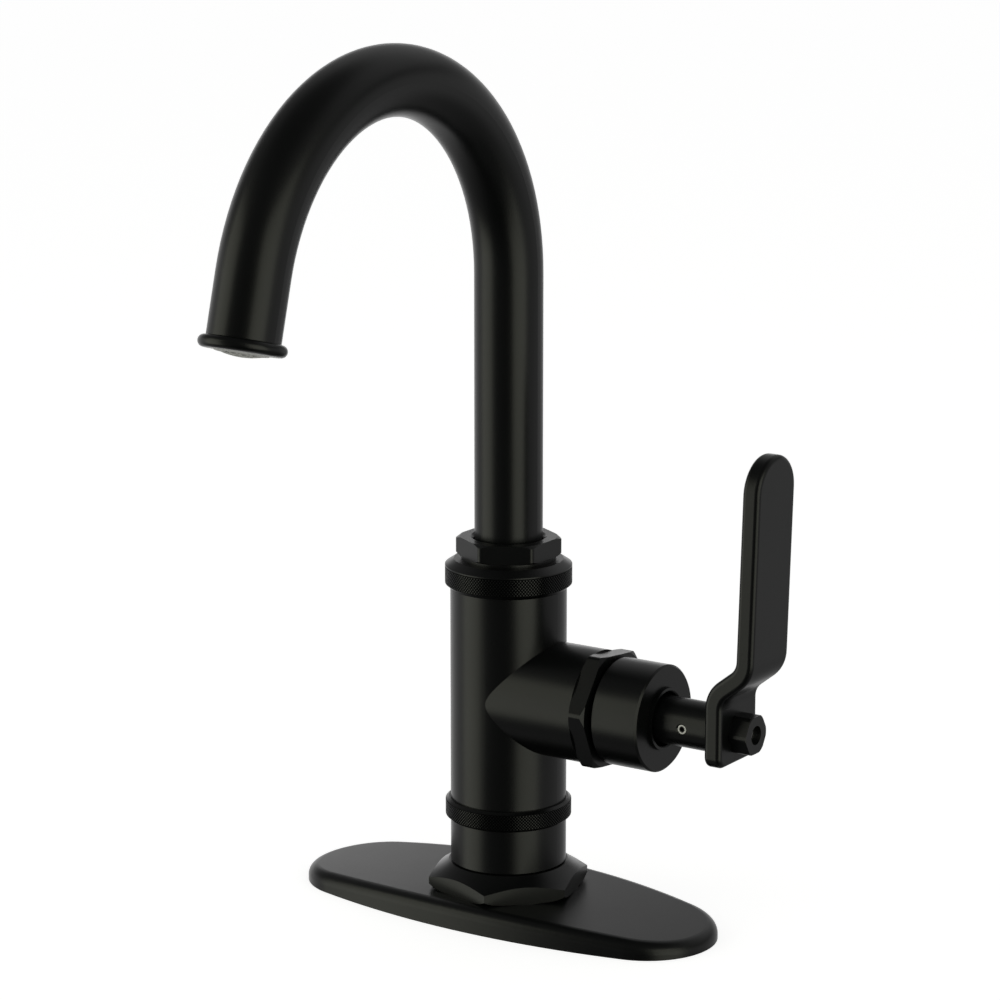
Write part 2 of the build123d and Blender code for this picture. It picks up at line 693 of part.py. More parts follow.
def bonnet_nut():
    """Hexagonal nut on the branch: its tail clamps the cartridge, its spigot takes the cap."""
    front = BONNET_FRONT_T
    wall = front - BONNET_FRONT_WALL
    neck_bore = HOUSING_NECK_RADIUS + TURNING_GAP
    thread = BRANCH_THREAD_RADIUS + SEAT_GAP
    nut = chamfered_hexagon(BONNET_FLATS, BONNET_T, front, BONNET_CHAMFER, turn=90 - BONNET_TURN)
    nut -= rod(thread, BONNET_T, wall)
    nut += rod(BONNET_SPIGOT_RADIUS, front, front + BONNET_SPIGOT_LENGTH)
    nut += rod(CARTRIDGE_RADIUS, HOUSING_SHOULDER_T, wall)
    return nut - rod(neck_bore, HOUSING_SHOULDER_T, front + BONNET_SPIGOT_LENGTH)


def valve_cap():
    """Turned cap over the cartridge's neck, with a raised lip round the hole for the lever's stem."""
    bore = BONNET_SPIGOT_RADIUS + SEAT_GAP
    inner_face = CAP_FACE_T - CAP_FACE_WALL
    lip = CAP_FACE_T + CAP_LIP_HEIGHT
    return turned(
        (bore, CAP_T),
        (CAP_RADIUS - CAP_EDGE, CAP_T),
        (CAP_RADIUS, CAP_T + CAP_EDGE),
        (CAP_RADIUS, CAP_FACE_T - CAP_EDGE),
        (CAP_RADIUS - CAP_EDGE, CAP_FACE_T),
        (CAP_LIP_RADIUS, CAP_FACE_T),
        (CAP_LIP_RADIUS, lip),
        (CAP_HOLE_RADIUS + CAP_HOLE_CHAMFER, lip),
        (CAP_HOLE_RADIUS, lip - CAP_HOLE_CHAMFER),
        (CAP_HOLE_RADIUS, inner_face),
        (bore, inner_face),
    )


def sector(inner, outer, bottom, top, start, sweep_angle):
    """Part of a ring, from one angle through another."""
    outline = Polyline(
        (inner, 0, bottom), (outer, 0, bottom), (outer, 0, top), (inner, 0, top), close=True
    )
    return Rot(0, 0, start) * revolve(make_face(outline), Axis.Z, sweep_angle)


def port_places():
    """Places of the cold and hot ports on the cartridge's face."""
    return [Pos(port_drop(), side * port_side(), 0) for side in inlet_sides().values()]


def seal_places():
    """Places of the three port seals: the two inlets and the outlet in the middle."""
    return [Pos(0, 0, 0)] + port_places()


def cartridge_base():
    """Ported foot of the cartridge, with a seat for a seal round each port."""
    top = FIXED_DISC_T
    base = rod(CARTRIDGE_RADIUS, CARTRIDGE_SEAT, top) - rod(OUTLET_PORT_RADIUS - PORT_SEAL_WIRE, 0, top)
    seat = rod(PORT_SEAL_RADIUS + PORT_SEAL_WIRE, CARTRIDGE_SEAT, CARTRIDGE_SEAT + 2 * PORT_SEAL_WIRE)
    for place in port_places():
        base -= place * rod(PORT_RADIUS, CARTRIDGE_SEAT, top)
    for place in seal_places():
        base -= place * seat
    return base


def port_seals():
    """Three O-rings between the cartridge and its seat in the body."""
    seal = torus_ring(PORT_SEAL_RADIUS, PORT_SEAL_WIRE, CARTRIDGE_SEAT + PORT_SEAL_WIRE)
    return Compound([place * seal for place in seal_places()])


def fixed_disc():
    """Lower ceramic disc: two inlet ports and the outlet in the middle."""
    top = FIXED_DISC_T + FIXED_DISC_THICKNESS
    disc = rod(DISC_RADIUS, FIXED_DISC_T, top)
    for place in port_places():
        disc -= place * rod(PORT_RADIUS, FIXED_DISC_T, top)
    disc -= rod(OUTLET_PORT_RADIUS - PORT_SEAL_WIRE, FIXED_DISC_T, top)
    rim = disc.faces().sort_by(Axis.Z)[-1].outer_wire().edges()
    return chamfer(rim, DISC_EDGE)


def drive_lug(radial_gap):
    """One key of the spindle's flange, grown by a gap where it is cut out of the disc."""
    block = Box(
        DRIVE_LUG_WIDTH + 2 * radial_gap,
        DRIVE_LUG_HEIGHT + 2 * radial_gap,
        DRIVE_LUG_LENGTH + radial_gap,
        align=(Align.CENTER, Align.CENTER, Align.MAX),
    )
    return Pos(DRIVE_LUG_RADIUS, 0, SPINDLE_T) * block


def drive_lugs(radial_gap):
    """The pair of keys, opposite each other."""
    lug = drive_lug(radial_gap)
    return lug + Rot(0, 0, 180) * lug


def moving_disc():
    """Upper ceramic disc: a pie-shaped mixing chamber below, two key slots above."""
    top = MOVING_DISC_T + MOVING_DISC_THICKNESS
    disc = rod(DISC_RADIUS - TURNING_GAP, MOVING_DISC_T, top)
    chamber_top = MOVING_DISC_T + MIXING_DEPTH
    disc -= rod(MIXING_INNER_RADIUS, MOVING_DISC_T, chamber_top)
    disc -= sector(0, MIXING_OUTER_RADIUS, MOVING_DISC_T, chamber_top, MIXING_START, MIXING_SECTOR)
    return disc - drive_lugs(SEAT_GAP)


def spindle_seal_t():
    """Place of the spindle's seal, in the middle of the housing's front wall."""
    return FLANGE_FRONT_T + AXIAL_PLAY + HOUSING_FRONT_WALL / 2


def spindle_seal_radius():
    """Centre-line radius of the spindle's seal."""
    return SPINDLE_RADIUS - SPINDLE_SEAL_WIRE


def cartridge_spindle():
    """Spindle: keyed flange with a stop lug, round shaft with a seal groove, and a flatted end."""
    spindle = rod(SPINDLE_FLANGE_RADIUS, SPINDLE_T, FLANGE_FRONT_T) + drive_lugs(0)
    spindle += rod(SPINDLE_RADIUS, FLANGE_FRONT_T, HOUSING_NECK_T)
    spindle += rod(SPLINE_RADIUS, HOUSING_NECK_T, SPLINE_END_T)
    lug = sector(
        0,
        SPINDLE_FLANGE_RADIUS + STOP_DEPTH,
        SPINDLE_T,
        FLANGE_FRONT_T,
        180 - STOP_LUG_ANGLE / 2,
        STOP_LUG_ANGLE,
    )
    groove_half = SPINDLE_SEAL_WIRE + SEAT_GAP
    spindle -= ring(
        SPINDLE_RADIUS + RUNNING_GAP,
        spindle_seal_radius() - SPINDLE_SEAL_WIRE,
        spindle_seal_t() - groove_half,
        spindle_seal_t() + groove_half,
    )
    flat = Pos(0, -SPLINE_FLAT, STEM_T) * Box(
        2 * SPLINE_RADIUS,
        SPLINE_RADIUS,
        SPLINE_END_T - STEM_T,
        align=(Align.CENTER, Align.MAX, Align.MIN),
    )
    return spindle + lug - flat


def spindle_seal():
    """O-ring in the spindle's groove."""
    return torus_ring(spindle_seal_radius(), SPINDLE_SEAL_WIRE, spindle_seal_t())


def cartridge_housing():
    """Outer case of the cartridge: holds the discs, stops the spindle's lug and carries its shaft."""
    inner_face = FLANGE_FRONT_T + AXIAL_PLAY
    case = rod(CARTRIDGE_RADIUS, FIXED_DISC_T, HOUSING_SHOULDER_T)
    case += rod(HOUSING_NECK_RADIUS, HOUSING_SHOULDER_T, HOUSING_NECK_T)
    case -= rod(HOUSING_BORE, FIXED_DISC_T, SPINDLE_T - SEAT_GAP)
    case -= rod(SPINDLE_FLANGE_RADIUS + TURNING_GAP, SPINDLE_T - SEAT_GAP, inner_face)
    free = LEVER_TRAVEL + STOP_LUG_ANGLE + 2 * STOP_MARGIN
    case -= sector(
        0,
        SPINDLE_FLANGE_RADIUS + STOP_DEPTH + TURNING_GAP,
        SPINDLE_T - SEAT_GAP,
        inner_face,
        180 - STOP_LUG_ANGLE / 2 - STOP_MARGIN,
        free,
    )
    return case - rod(SPINDLE_RADIUS + RUNNING_GAP, inner_face, HOUSING_NECK_T)


def lever_stem():
    """Round hub on the spindle: bore, square end for the lever, holes for the stud and set screw."""
    stem = turned(
        (0, STEM_T),
        (STEM_RADIUS - STEM_EDGE, STEM_T),
        (STEM_RADIUS, STEM_T + STEM_EDGE),
        (STEM_RADIUS, LEVER_T - STEM_EDGE),
        (STEM_RADIUS - STEM_EDGE, LEVER_T),
        (0, LEVER_T),
    )
    stem += Pos(0, 0, LEVER_T) * Box(
        SQUARE_DRIVE, SQUARE_DRIVE, SQUARE_DRIVE_LENGTH, align=(Align.CENTER, Align.CENTER, Align.MIN)
    )
    stem -= rod(SPLINE_BORE, STEM_T, SPLINE_END_T + SEAT_GAP)
    stem -= rod(STUD_RADIUS + SEAT_GAP, LEVER_T - STUD_HOLD, LEVER_T + SQUARE_DRIVE_LENGTH)
    return stem - set_screw_place() * set_screw_hole()


def set_screw_place():
    """The set screw's axis: out of the stem towards the front."""
    return Location((0, 0, SET_SCREW_T), (90, 0, 0))


def set_screw_hole():
    """Cross hole in the stem, countersunk at its mouth."""
    hole = SET_SCREW_RADIUS + SEAT_GAP
    mouth = STEM_RADIUS - SET_SCREW_MOUTH
    return turned(
        (0, 0),
        (hole, 0),
        (hole, mouth),
        (hole + SET_SCREW_MOUTH, STEM_RADIUS),
        (0, STEM_RADIUS),
    )


def set_screw():
    """Grub screw that holds the stem on the spindle's flat."""
    outer = STEM_RADIUS - SET_SCREW_SINK
    screw = rod(SET_SCREW_RADIUS, SPLINE_FLAT + SEAT_GAP, outer)
    screw -= hexagon(SET_SCREW_KEY, outer - SET_SCREW_KEY_DEPTH, outer)
    return set_screw_place() * screw


def lever_side_view():
    """Side view of the lever: upright foot, outward double bend, leaning blade."""
    foot_x = LEVER_T + LEVER_THICKNESS / 2
    bend_z = VALVE_Z + LEVER_BEND_START
    blade_x = foot_x + LEVER_OFFSET
    blade_z = bend_z + LEVER_BEND_RISE
    past_top = VALVE_Z + LEVER_HEIGHT + LEVER_THICKNESS
    top_x = blade_x + (past_top - blade_z) * math.tan(math.radians(LEVER_LEAN))
    centre_line = FilletPolyline(
        (foot_x, VALVE_Z - LEVER_TAIL),
        (foot_x, bend_z),
        (blade_x, blade_z),
        (top_x, past_top),
        radius=LEVER_BEND_RADIUS,
    )
    return trace(centre_line, LEVER_THICKNESS)


def lever_front_view():
    """Front view of the lever: straight sides, eased foot and a round top."""
    half = LEVER_WIDTH / 2
    shoulder = VALVE_Z + LEVER_HEIGHT - half
    tail = VALVE_Z - LEVER_TAIL
    blade = Pos(0, (shoulder + tail) / 2) * Rectangle(LEVER_WIDTH, shoulder - tail)
    blade = fillet(blade.vertices().group_by(Axis.Y)[0], LEVER_FOOT_RADIUS)
    return blade + Pos(0, shoulder) * Circle(half)


def lever():
    """Flat bar bent out from the stem, round at the top, its outer edges eased."""
    bar = extrude(Plane.XZ * lever_side_view(), LEVER_WIDTH / 2, both=True)
    bar &= extrude(Plane.YZ * lever_front_view(), LEVER_T + LEVER_HEIGHT)
    long_edges = bar.edges().filter_by(Axis.Y, reverse=True).filter_by(Axis.X, reverse=True)
    foot_edges = bar.edges().filter_by(Axis.Y).group_by(Axis.Z)[0]
    bar = fillet(long_edges + foot_edges, LEVER_EDGE)
    hole = SQUARE_DRIVE + 2 * SEAT_GAP
    drive = Pos(0, 0, LEVER_T) * Box(
        hole, hole, LEVER_THICKNESS, align=(Align.CENTER, Align.CENTER, Align.MIN)
    )
    return bar - VALVE * drive


def nut_front_t():
    """Outer end of the lever's nut."""
    return LEVER_T + LEVER_THICKNESS + LEVER_NUT_THICKNESS


def lever_stud():
    """Threaded stud that stands out of the stem for the lever's nut."""
    return rod(STUD_RADIUS, LEVER_T - STUD_HOLD, nut_front_t() - STUD_RECESS)


def lever_nut():
    """Hexagonal nut that holds the lever on the stem."""
    back = LEVER_T + LEVER_THICKNESS
    nut = chamfered_hexagon(LEVER_NUT_FLATS, back, nut_front_t(), LEVER_NUT_CHAMFER, turn=90)
    return nut - rod(STUD_RADIUS + SEAT_GAP, back, nut_front_t())


def standing_parts():
    """Everything stacked on the deck or below it."""
    parts = {
        "deck_plate": deck_plate(),
        "deck_gasket": deck_gasket(),
        "base_flange": base_flange(),
        "base_seal": base_seal(),
        "lower_sleeve": lower_sleeve(),
        "lower_knurled_ring": lower_knurled_ring(),
        "body": body(),
        "upper_knurled_ring": upper_knurled_ring(),
        "spout_nut": spout_nut(),
        "shank": shank(),
    }
    for name, side in inlet_sides().items():
        parts[name + "_inlet"] = inlet(side)
    parts.update(deck_clamp_parts())
    parts.update(glide_rings())
    return parts


def spout_parts():
    """Everything that swivels with the spout."""
    parts = {
        "spout_pivot": spout_pivot(),
        "spout_o_rings": spout_o_rings(),
        "spout_tube": spout_tube(),
    }
    tip = {"outlet_ring": outlet_ring()}
    tip.update(aerator_parts())
    for name, solid in tip.items():
        parts[name] = tip_frame().location * solid
    return parts


def valve_parts():
    """Cartridge, bonnet, cap and lever, built on the valve's own axis."""
    on_axis = {
        "bonnet_nut": bonnet_nut(),
        "valve_cap": valve_cap(),
        "cartridge_base": cartridge_base(),
        "port_seals": port_seals(),
        "fixed_disc": fixed_disc(),
        "cartridge_housing": cartridge_housing(),
        "moving_disc": moving_disc(),
        "cartridge_spindle": cartridge_spindle(),
        "spindle_seal": spindle_seal(),
        "lever_stem": lever_stem(),
        "set_screw": set_screw(),
        "lever_stud": lever_stud(),
        "lever_nut": lever_nut(),
    }
    parts = {name: VALVE * solid for name, solid in on_axis.items()}
    parts["lever"] = lever()
    return parts


def main():
    """Write one STEP file for each piece."""
    os.makedirs("parts", exist_ok=True)
    pieces = {**standing_parts(), **spout_parts(), **valve_parts()}
    for name, solid in pieces.items():
        export_step(solid, os.path.join("parts", name + ".step"))


if __name__ == "__main__":
    main()
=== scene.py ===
"""Bar faucet in satin black: finishes, knurls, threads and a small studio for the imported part."""

import math

import bmesh
import bpy
from mathutils import Matrix, Vector


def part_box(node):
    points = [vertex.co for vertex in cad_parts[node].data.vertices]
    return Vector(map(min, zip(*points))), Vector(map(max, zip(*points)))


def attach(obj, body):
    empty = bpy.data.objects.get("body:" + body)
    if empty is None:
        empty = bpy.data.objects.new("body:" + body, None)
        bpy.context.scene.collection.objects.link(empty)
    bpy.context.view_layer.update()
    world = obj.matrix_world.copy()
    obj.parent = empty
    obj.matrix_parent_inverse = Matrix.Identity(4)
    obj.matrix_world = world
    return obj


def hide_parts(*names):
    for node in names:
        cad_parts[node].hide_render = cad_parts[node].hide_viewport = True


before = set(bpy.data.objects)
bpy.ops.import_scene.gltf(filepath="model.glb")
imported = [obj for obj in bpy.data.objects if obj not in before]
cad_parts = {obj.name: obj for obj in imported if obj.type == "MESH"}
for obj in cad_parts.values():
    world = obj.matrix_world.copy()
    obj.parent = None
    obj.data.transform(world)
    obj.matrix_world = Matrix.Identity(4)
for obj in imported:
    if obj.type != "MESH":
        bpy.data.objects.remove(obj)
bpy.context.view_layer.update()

bl_info = {
    "name": "Bar faucet finishes",
    "version": (1, 0, 0),
    "blender": (4, 5, 0),
    "location": "3D View > Sidebar > Faucet",
    "description": "Knurled rings, nuts, threads, finishes and a studio for a bar faucet",
    "category": "Object",
}

MM = 0.001

BLACK_PIECES = (
    "deck_plate", "base_flange", "lower_sleeve", "body", "valve_cap", "spout_tube", "outlet_ring",
    "lever_stem", "lever",
)
BRASS_PIECES = ("cold_inlet", "hot_inlet", "locknut", "spout_pivot", "cartridge_spindle")
STEEL_PIECES = ("shank_washer",)
RUBBER_PIECES = (
    "deck_gasket", "base_seal", "port_seals", "spout_o_rings", "aerator_washer", "spindle_seal",
    "shank_gasket",
)
PLASTIC_PIECES = (
    "lower_glide_ring", "upper_glide_ring", "cartridge_housing", "cartridge_base", "aerator_housing",
    "aerator_flow_disc",
)
CERAMIC_PIECES = ("fixed_disc", "moving_disc")

# Each nut with its body and its axis.
NUTS = {
    "spout_nut": ("faucet_base", Vector((0, 0, 1))),
    "bonnet_nut": ("faucet_base", Vector((1, 0, 0))),
    "lever_nut": ("lever_assembly", Vector((1, 0, 0))),
}

# Points closer than MERGE are one point, and a nut's cutting plane meets points within CUT_SLACK.
MERGE = 0.002 * MM
CUT_SLACK = MERGE / 10
# Two directions are the same when the cosine between them is above this.
PARALLEL = 0.999
# Edges that turn further than this stay sharp.
CREASE = math.radians(28)

# A hexagon turns by this angle at a corner, and an edge that turns by it within the slack is one.
HEX_TURN = math.pi / 3
HEX_SLACK = 0.02
# Edges closer together than this belong to one corner.
SAME_CORNER = 0.1 * MM

# A thread's tooth: where its root and its crest begin and end, as shares of the pitch.
TOOTH = (("root", 0.02), ("root", 0.2), ("crest", 0.52), ("crest", 0.68))
# Depth of a thread in pitches, and the turns past each end that are cut off again.
THREAD_DEPTH = 0.6
SPARE_TURNS = 2
SHANK_STEPS = 72
STUD_STEPS = 48
# The stud's thread stays this far inside its plain cylinder.
STUD_PLAY = 0.02 * MM

# Width of the aerator grid's rim in bars, and its inner side as (inward, upward) in widths of the rim.
GRID_RIM = 1.76
RIM_SIDE = ((1.0, 0.45), (1.6, 0.55), (1.6, -0.6))
RIM_STEPS = 96

# How far each grain moves its finish's roughness.
CLOUD_ROUGH = 0.06
PEEL_ROUGH = 0.04
TARNISH_ROUGH = 0.16
LINE_ROUGH = 0.08
CRYSTAL_ROUGH = 0.12
BLOOM_ROUGH = 0.16
MOTTLE_ROUGH = 0.1
SPECKLE_ROUGH = 0.08

# How deep each grain is.
TURNING_DEPTH = 0.006 * MM
ROLLING_DEPTH = 0.004 * MM
RUBBER_DEPTH = 0.012 * MM
PLASTIC_DEPTH = 0.004 * MM
SPECKLE_DEPTH = 0.002 * MM

COAT_IOR = 1.5
# Grey of the painted shade in the grub screw's socket, and half the width over which its bright rim
# begins.
SCREW_SOCKET_SHADE = 0.01
SCREW_BLUR = 0.08 * MM

# Softboxes: degrees round from the camera's side and up from the deck, metres away, width and height.
LEFT_SOFTBOX = {"bearing": -78, "tilt": 2, "distance": 1.25, "size": (1.0, 1.6)}
RIGHT_SOFTBOX = {"bearing": 37, "tilt": 2, "distance": 1.25, "size": (1.05, 1.5)}
# Height over the deck that the softboxes face.
LAMP_AIM = 0.15

FLOOR_RADIUS = 6
FLOOR_STEPS = 96
# The floor's darkest grey, as a share of its own.
FLOOR_GRAIN = 0.99

# What reflections see of the studio's walls, as stops of (place, grey). Round the horizon the places run
# from behind the faucet past its left, the camera's side and its right to behind again. Upward they run
# from straight down to straight up.
WALLS_ROUND = (
    (0.0, 1.0), (0.06, 0.62), (0.12, 0.38), (0.2, 0.24), (0.28, 0.18), (0.375, 0.06), (0.5, 0.02),
    (0.6, 0.1), (0.7, 0.21), (0.82, 0.2), (0.89, 0.25), (0.94, 0.45), (1.0, 1.0),
)
WALLS_UPWARD = ((0.22, 0.4), (0.36, 1.0), (0.55, 1.0), (0.6, 0.62), (0.65, 0.22), (0.7, 0.2))
UPPER_WALLS_ROUND = (
    (0.0, 0.34), (0.08, 0.14), (0.3, 0.08), (0.5, 0.05), (0.7, 0.14), (0.82, 0.32), (0.93, 0.4),
    (1.0, 0.34),
)
# Sines of the heights between which the upper walls, and then the ceiling, take over.
UPPER_WALLS_RISE = (0.25, 0.45)
CEILING_RISE = (0.7, 0.95)

SENSOR_WIDTH = 36
CLIP_START = 0.05
CLIP_END = 50

# Sockets of a Mix node that mixes colours.
MIX_FACTOR, MIX_FIRST, MIX_SECOND, MIX_RESULT = 0, 6, 7, 2


# Node trees

class Wire:
    """A socket that takes part in arithmetic: each operator adds one Math node."""

    def __init__(self, tree, socket):
        self.tree = tree
        self.socket = socket

    def maths(self, operation, *values):
        return self.tree.node("ShaderNodeMath", {"operation": operation}, dict(enumerate(values)))

    def __add__(self, other):
        return self.maths("ADD", self, other)

    def __sub__(self, other):
        return self.maths("SUBTRACT", self, other)

    def __rsub__(self, other):
        return self.maths("SUBTRACT", other, self)

    def __mul__(self, other):
        return self.maths("MULTIPLY", self, other)

    __radd__ = __add__
    __rmul__ = __mul__


class Tree:
    """The node tree of a material or of the world."""

    def __init__(self, owner):
        owner.use_nodes = True
        self.nodes = owner.node_tree.nodes
        self.links = owner.node_tree.links
        self.nodes.clear()

    def node(self, kind, settings=None, inputs=None, output=0):
        """Adds a node: its settings first, then the values or links of its sockets."""
        made = self.nodes.new(kind)
        for key, value in (settings or {}).items():
            if key == "stops":
                self.set_stops(made.color_ramp, value)
            else:
                setattr(made, key, value)
        for key, value in (inputs or {}).items():
            if isinstance(value, Wire):
                self.links.new(value.socket, made.inputs[key])
            else:
                made.inputs[key].default_value = value
        return Wire(self, made.outputs[output] if len(made.outputs) else None)

    @staticmethod
    def set_stops(ramp, stops):
        """Gives a colour ramp its stops, as (place, grey)."""
        while len(ramp.elements) < len(stops):
            ramp.elements.new(1.0)
        for element, (place, level) in zip(ramp.elements, stops):
            element.position = place
            element.color = grey(level)

    def ramp(self, factor, stops):
        """Grey that follows a factor through stops."""
        return self.node("ShaderNodeValToRGB", {"stops": stops}, {"Fac": factor})

    def place(self):
        """The point on the piece, in metres, in the part's own frame."""
        return self.node("ShaderNodeTexCoord", output="Object")

    def noise(self, scale, detail, vector=None):
        """Cloudy noise from 0 to 1, with so many features to the metre."""
        inputs = {"Vector": vector or self.place(), "Scale": scale, "Detail": detail}
        return self.node("ShaderNodeTexNoise", inputs=inputs)

    def lines(self, scale, detail):
        """Noise drawn out into lines, with so many features to the metre along each axis."""
        stretched = self.node("ShaderNodeMapping", inputs={"Vector": self.place(), "Scale": scale})
        return self.noise(1, detail, stretched)

    def step(self, value, start, end):
        """Smooth step of a value, from 0 at start to 1 at end."""
        settings = {"interpolation_type": "SMOOTHSTEP"}
        inputs = {"Value": value, "From Min": start, "From Max": end}
        return self.node("ShaderNodeMapRange", settings, inputs)

    def vector(self, operation, first, second, output=0):
        """Maths on two vectors."""
        return self.node("ShaderNodeVectorMath", {"operation": operation}, {0: first, 1: second}, output)

    def blend(self, factor, first, second):
        """Mixes two colours."""
        inputs = {MIX_FACTOR: factor, MIX_FIRST: first, MIX_SECOND: second}
        return self.node("ShaderNodeMix", {"data_type": "RGBA"}, inputs, MIX_RESULT)

    def shades(self, factor, colour, first, second):
        """Mixes two shades of a colour, each given as a share of its brightness."""
        return self.blend(factor, tint(colour, first), tint(colour, second))

    def bump(self, height, depth):
        """Normal of a surface whose height runs from 0 to 1 over a depth in metres."""
        return self.node("ShaderNodeBump", inputs={"Strength": 1.0, "Distance": depth, "Height": height})


def finish(name, sockets, look):
    """Makes a material, from the function that gives its shader's sockets."""
    material = bpy.data.materials.new(name)
    tree = Tree(material)
    shader = tree.node("ShaderNodeBsdfPrincipled", inputs=sockets(tree, look))
    tree.node("ShaderNodeOutputMaterial", inputs={"Surface": shader})
    return material


def dress(nodes, material):
    """Gives CAD nodes their finish."""
    for name in nodes:
        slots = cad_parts[name].data.materials
        slots.clear()
        slots.append(material)


def grey(level):
    """Opaque grey."""
    return (level, level, level, 1)


def tint(colour, share):
    """Opaque colour, scaled in brightness."""
    return (colour[0] * share, colour[1] * share, colour[2] * share, 1)


# Finishes

def coat_sockets(tree, look):
    """Satin black coat: deep black, slightly cloudy gloss and a fine orange peel."""
    cloud = tree.noise(scale=38, detail=3)
    peel = tree.noise(scale=900, detail=2)
    return {
        "Base Color": tree.shades(cloud, look.coat_colour, first=0.8, second=1.2),
        "Roughness": look.coat_roughness + CLOUD_ROUGH * (cloud - 0.5) + PEEL_ROUGH * (peel - 0.5),
        "Normal": tree.bump(peel, look.coat_peel),
        "IOR": COAT_IOR,
    }


def brass_sockets(tree, look):
    """Machined brass: fine turning lines round the part's axis and a light tarnish."""
    lines = tree.lines(scale=(90, 90, 5200), detail=3)
    tarnish = tree.step(tree.noise(scale=70, detail=4), start=0.45, end=0.75)
    return {
        "Base Color": tree.shades(tarnish, look.brass_colour, first=1.0, second=0.72),
        "Roughness": look.brass_roughness + TARNISH_ROUGH * tarnish + LINE_ROUGH * lines,
        "Metallic": 1.0,
        "Normal": tree.bump(lines, TURNING_DEPTH),
    }


def steel_sockets(tree, look):
    """Zinc-plated steel: grey with faint crystals and rolling lines."""
    lines = tree.lines(scale=(2600, 160, 160), detail=2)
    crystal = tree.noise(scale=420, detail=3)
    return {
        "Base Color": tree.shades(crystal, look.steel_colour, first=0.85, second=1.1),
        "Roughness": look.steel_roughness + CRYSTAL_ROUGH * crystal,
        "Metallic": 1.0,
        "Normal": tree.bump(lines, ROLLING_DEPTH),
    }


def screw_sockets(tree, look):
    """Grub screw: steel, bright on the rim, with painted shade that makes the socket black."""
    low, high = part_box("set_screw")
    flat = tree.vector("MULTIPLY", tree.place(), (1, 0, 1))
    middle = ((low.x + high.x) / 2, 0, (low.z + high.z) / 2)
    radius = tree.vector("DISTANCE", flat, middle, output="Value")
    # Painted shade: inside the rim the socket is coloured near black and is not metallic.
    rim = tree.step(radius, look.screw_rim - SCREW_BLUR, look.screw_rim + SCREW_BLUR)
    sockets = steel_sockets(tree, look)
    sockets["Base Color"] = tree.blend(rim, grey(SCREW_SOCKET_SHADE), sockets["Base Color"])
    sockets["Metallic"] = rim
    return sockets


def rubber_sockets(tree, look):
    """Moulded rubber: dull black with a soft bloom and a fine grain."""
    bloom = tree.step(tree.noise(scale=55, detail=4), start=0.4, end=0.8)
    grain = tree.noise(scale=2400, detail=2)
    return {
        "Base Color": tree.shades(bloom, look.rubber_colour, first=1.0, second=1.8),
        "Roughness": look.rubber_roughness + BLOOM_ROUGH * bloom,
        "Normal": tree.bump(grain, RUBBER_DEPTH),
    }


def plastic_sockets(tree, look):
    """Pale moulded plastic: a faint mottle and a fine spark-eroded grain."""
    mottle = tree.noise(scale=120, detail=3)
    grain = tree.noise(scale=3200, detail=2)
    return {
        "Base Color": tree.shades(mottle, look.plastic_colour, first=0.94, second=1.03),
        "Roughness": look.plastic_roughness + MOTTLE_ROUGH * mottle,
        "Normal": tree.bump(grain, PLASTIC_DEPTH),
    }


def ceramic_sockets(tree, look):
    """Lapped ceramic: near white, with a trace of speckle."""
    speckle = tree.step(tree.noise(scale=1500, detail=2), start=0.6, end=0.72)
    return {
        "Base Color": tree.shades(speckle, look.ceramic_colour, first=1.0, second=0.9),
        "Roughness": look.ceramic_roughness + SPECKLE_ROUGH * speckle,
        "Normal": tree.bump(speckle, SPECKLE_DEPTH),
    }


# Mesh helpers

def lathe(bm, outline, steps):
    """Spins a closed outline of (radius, height) points once about Z."""
    corners = [bm.verts.new((radius, 0, height)) for radius, height in outline]
    sides = [bm.edges.new(pair) for pair in zip(corners, corners[1:] + corners[:1])]
    bmesh.ops.spin(
        bm, geom=corners + sides, cent=(0, 0, 0), axis=(0, 0, 1), dvec=(0, 0, 0), angle=math.tau,
        steps=steps, use_merge=True, use_duplicate=False,
    )
    bmesh.ops.remove_doubles(bm, verts=bm.verts, dist=MERGE)
    bmesh.ops.recalc_face_normals(bm, faces=bm.faces)


def cut_off(bm, point, normal, slack):
    """Cuts off what lies beyond a plane, and returns the rim of the cut."""
    made = bmesh.ops.bisect_plane(
        bm, geom=bm.verts[:] + bm.edges[:] + bm.faces[:], dist=slack, plane_co=point, plane_no=normal,
        clear_outer=True,
    )
    return [edge for edge in made["geom_cut"] if isinstance(edge, bmesh.types.BMEdge)]


def thread(bm, crest, root, pitch, bottom, turns, steps):
    """Thread surface: a row of teeth spun once while it climbs one pitch, then cut off square."""
    radii = {"root": root, "crest": crest}
    row = []
    for turn in range(-SPARE_TURNS, turns + SPARE_TURNS):
        for level, share in TOOTH:
            row.append(bm.verts.new((radii[level], 0, bottom + (turn + share) * pitch)))
    line = [bm.edges.new(pair) for pair in zip(row, row[1:])]
    bmesh.ops.spin(
        bm, geom=row + line, cent=(0, 0, 0), axis=(0, 0, 1), dvec=(0, 0, pitch / steps), angle=math.tau,
        steps=steps, use_merge=False, use_duplicate=False,
    )
    bmesh.ops.remove_doubles(bm, verts=bm.verts, dist=MERGE)
    cut_off(bm, (0, 0, bottom), (0, 0, -1), MERGE)
    cut_off(bm, (0, 0, bottom + turns * pitch), (0, 0, 1), MERGE)


def open_loop(bm, height):
    """Free edges at a height."""
    free = [edge for edge in bm.edges if edge.is_boundary]
    return [edge for edge in free if all(abs(vert.co.z - height) < MERGE for vert in edge.verts)]


def draw_out(bm, loop, radius, height):
    """Extrudes a round loop of edges to another radius and height, and returns the new loop."""
    made = bmesh.ops.extrude_edge_only(bm, edges=loop)["geom"]
    for vert in made:
        if isinstance(vert, bmesh.types.BMVert):
            vert.co.xy = vert.co.xy.normalized() * radius
            vert.co.z = height
    return [edge for edge in made if isinstance(edge, bmesh.types.BMEdge) and edge.is_boundary]


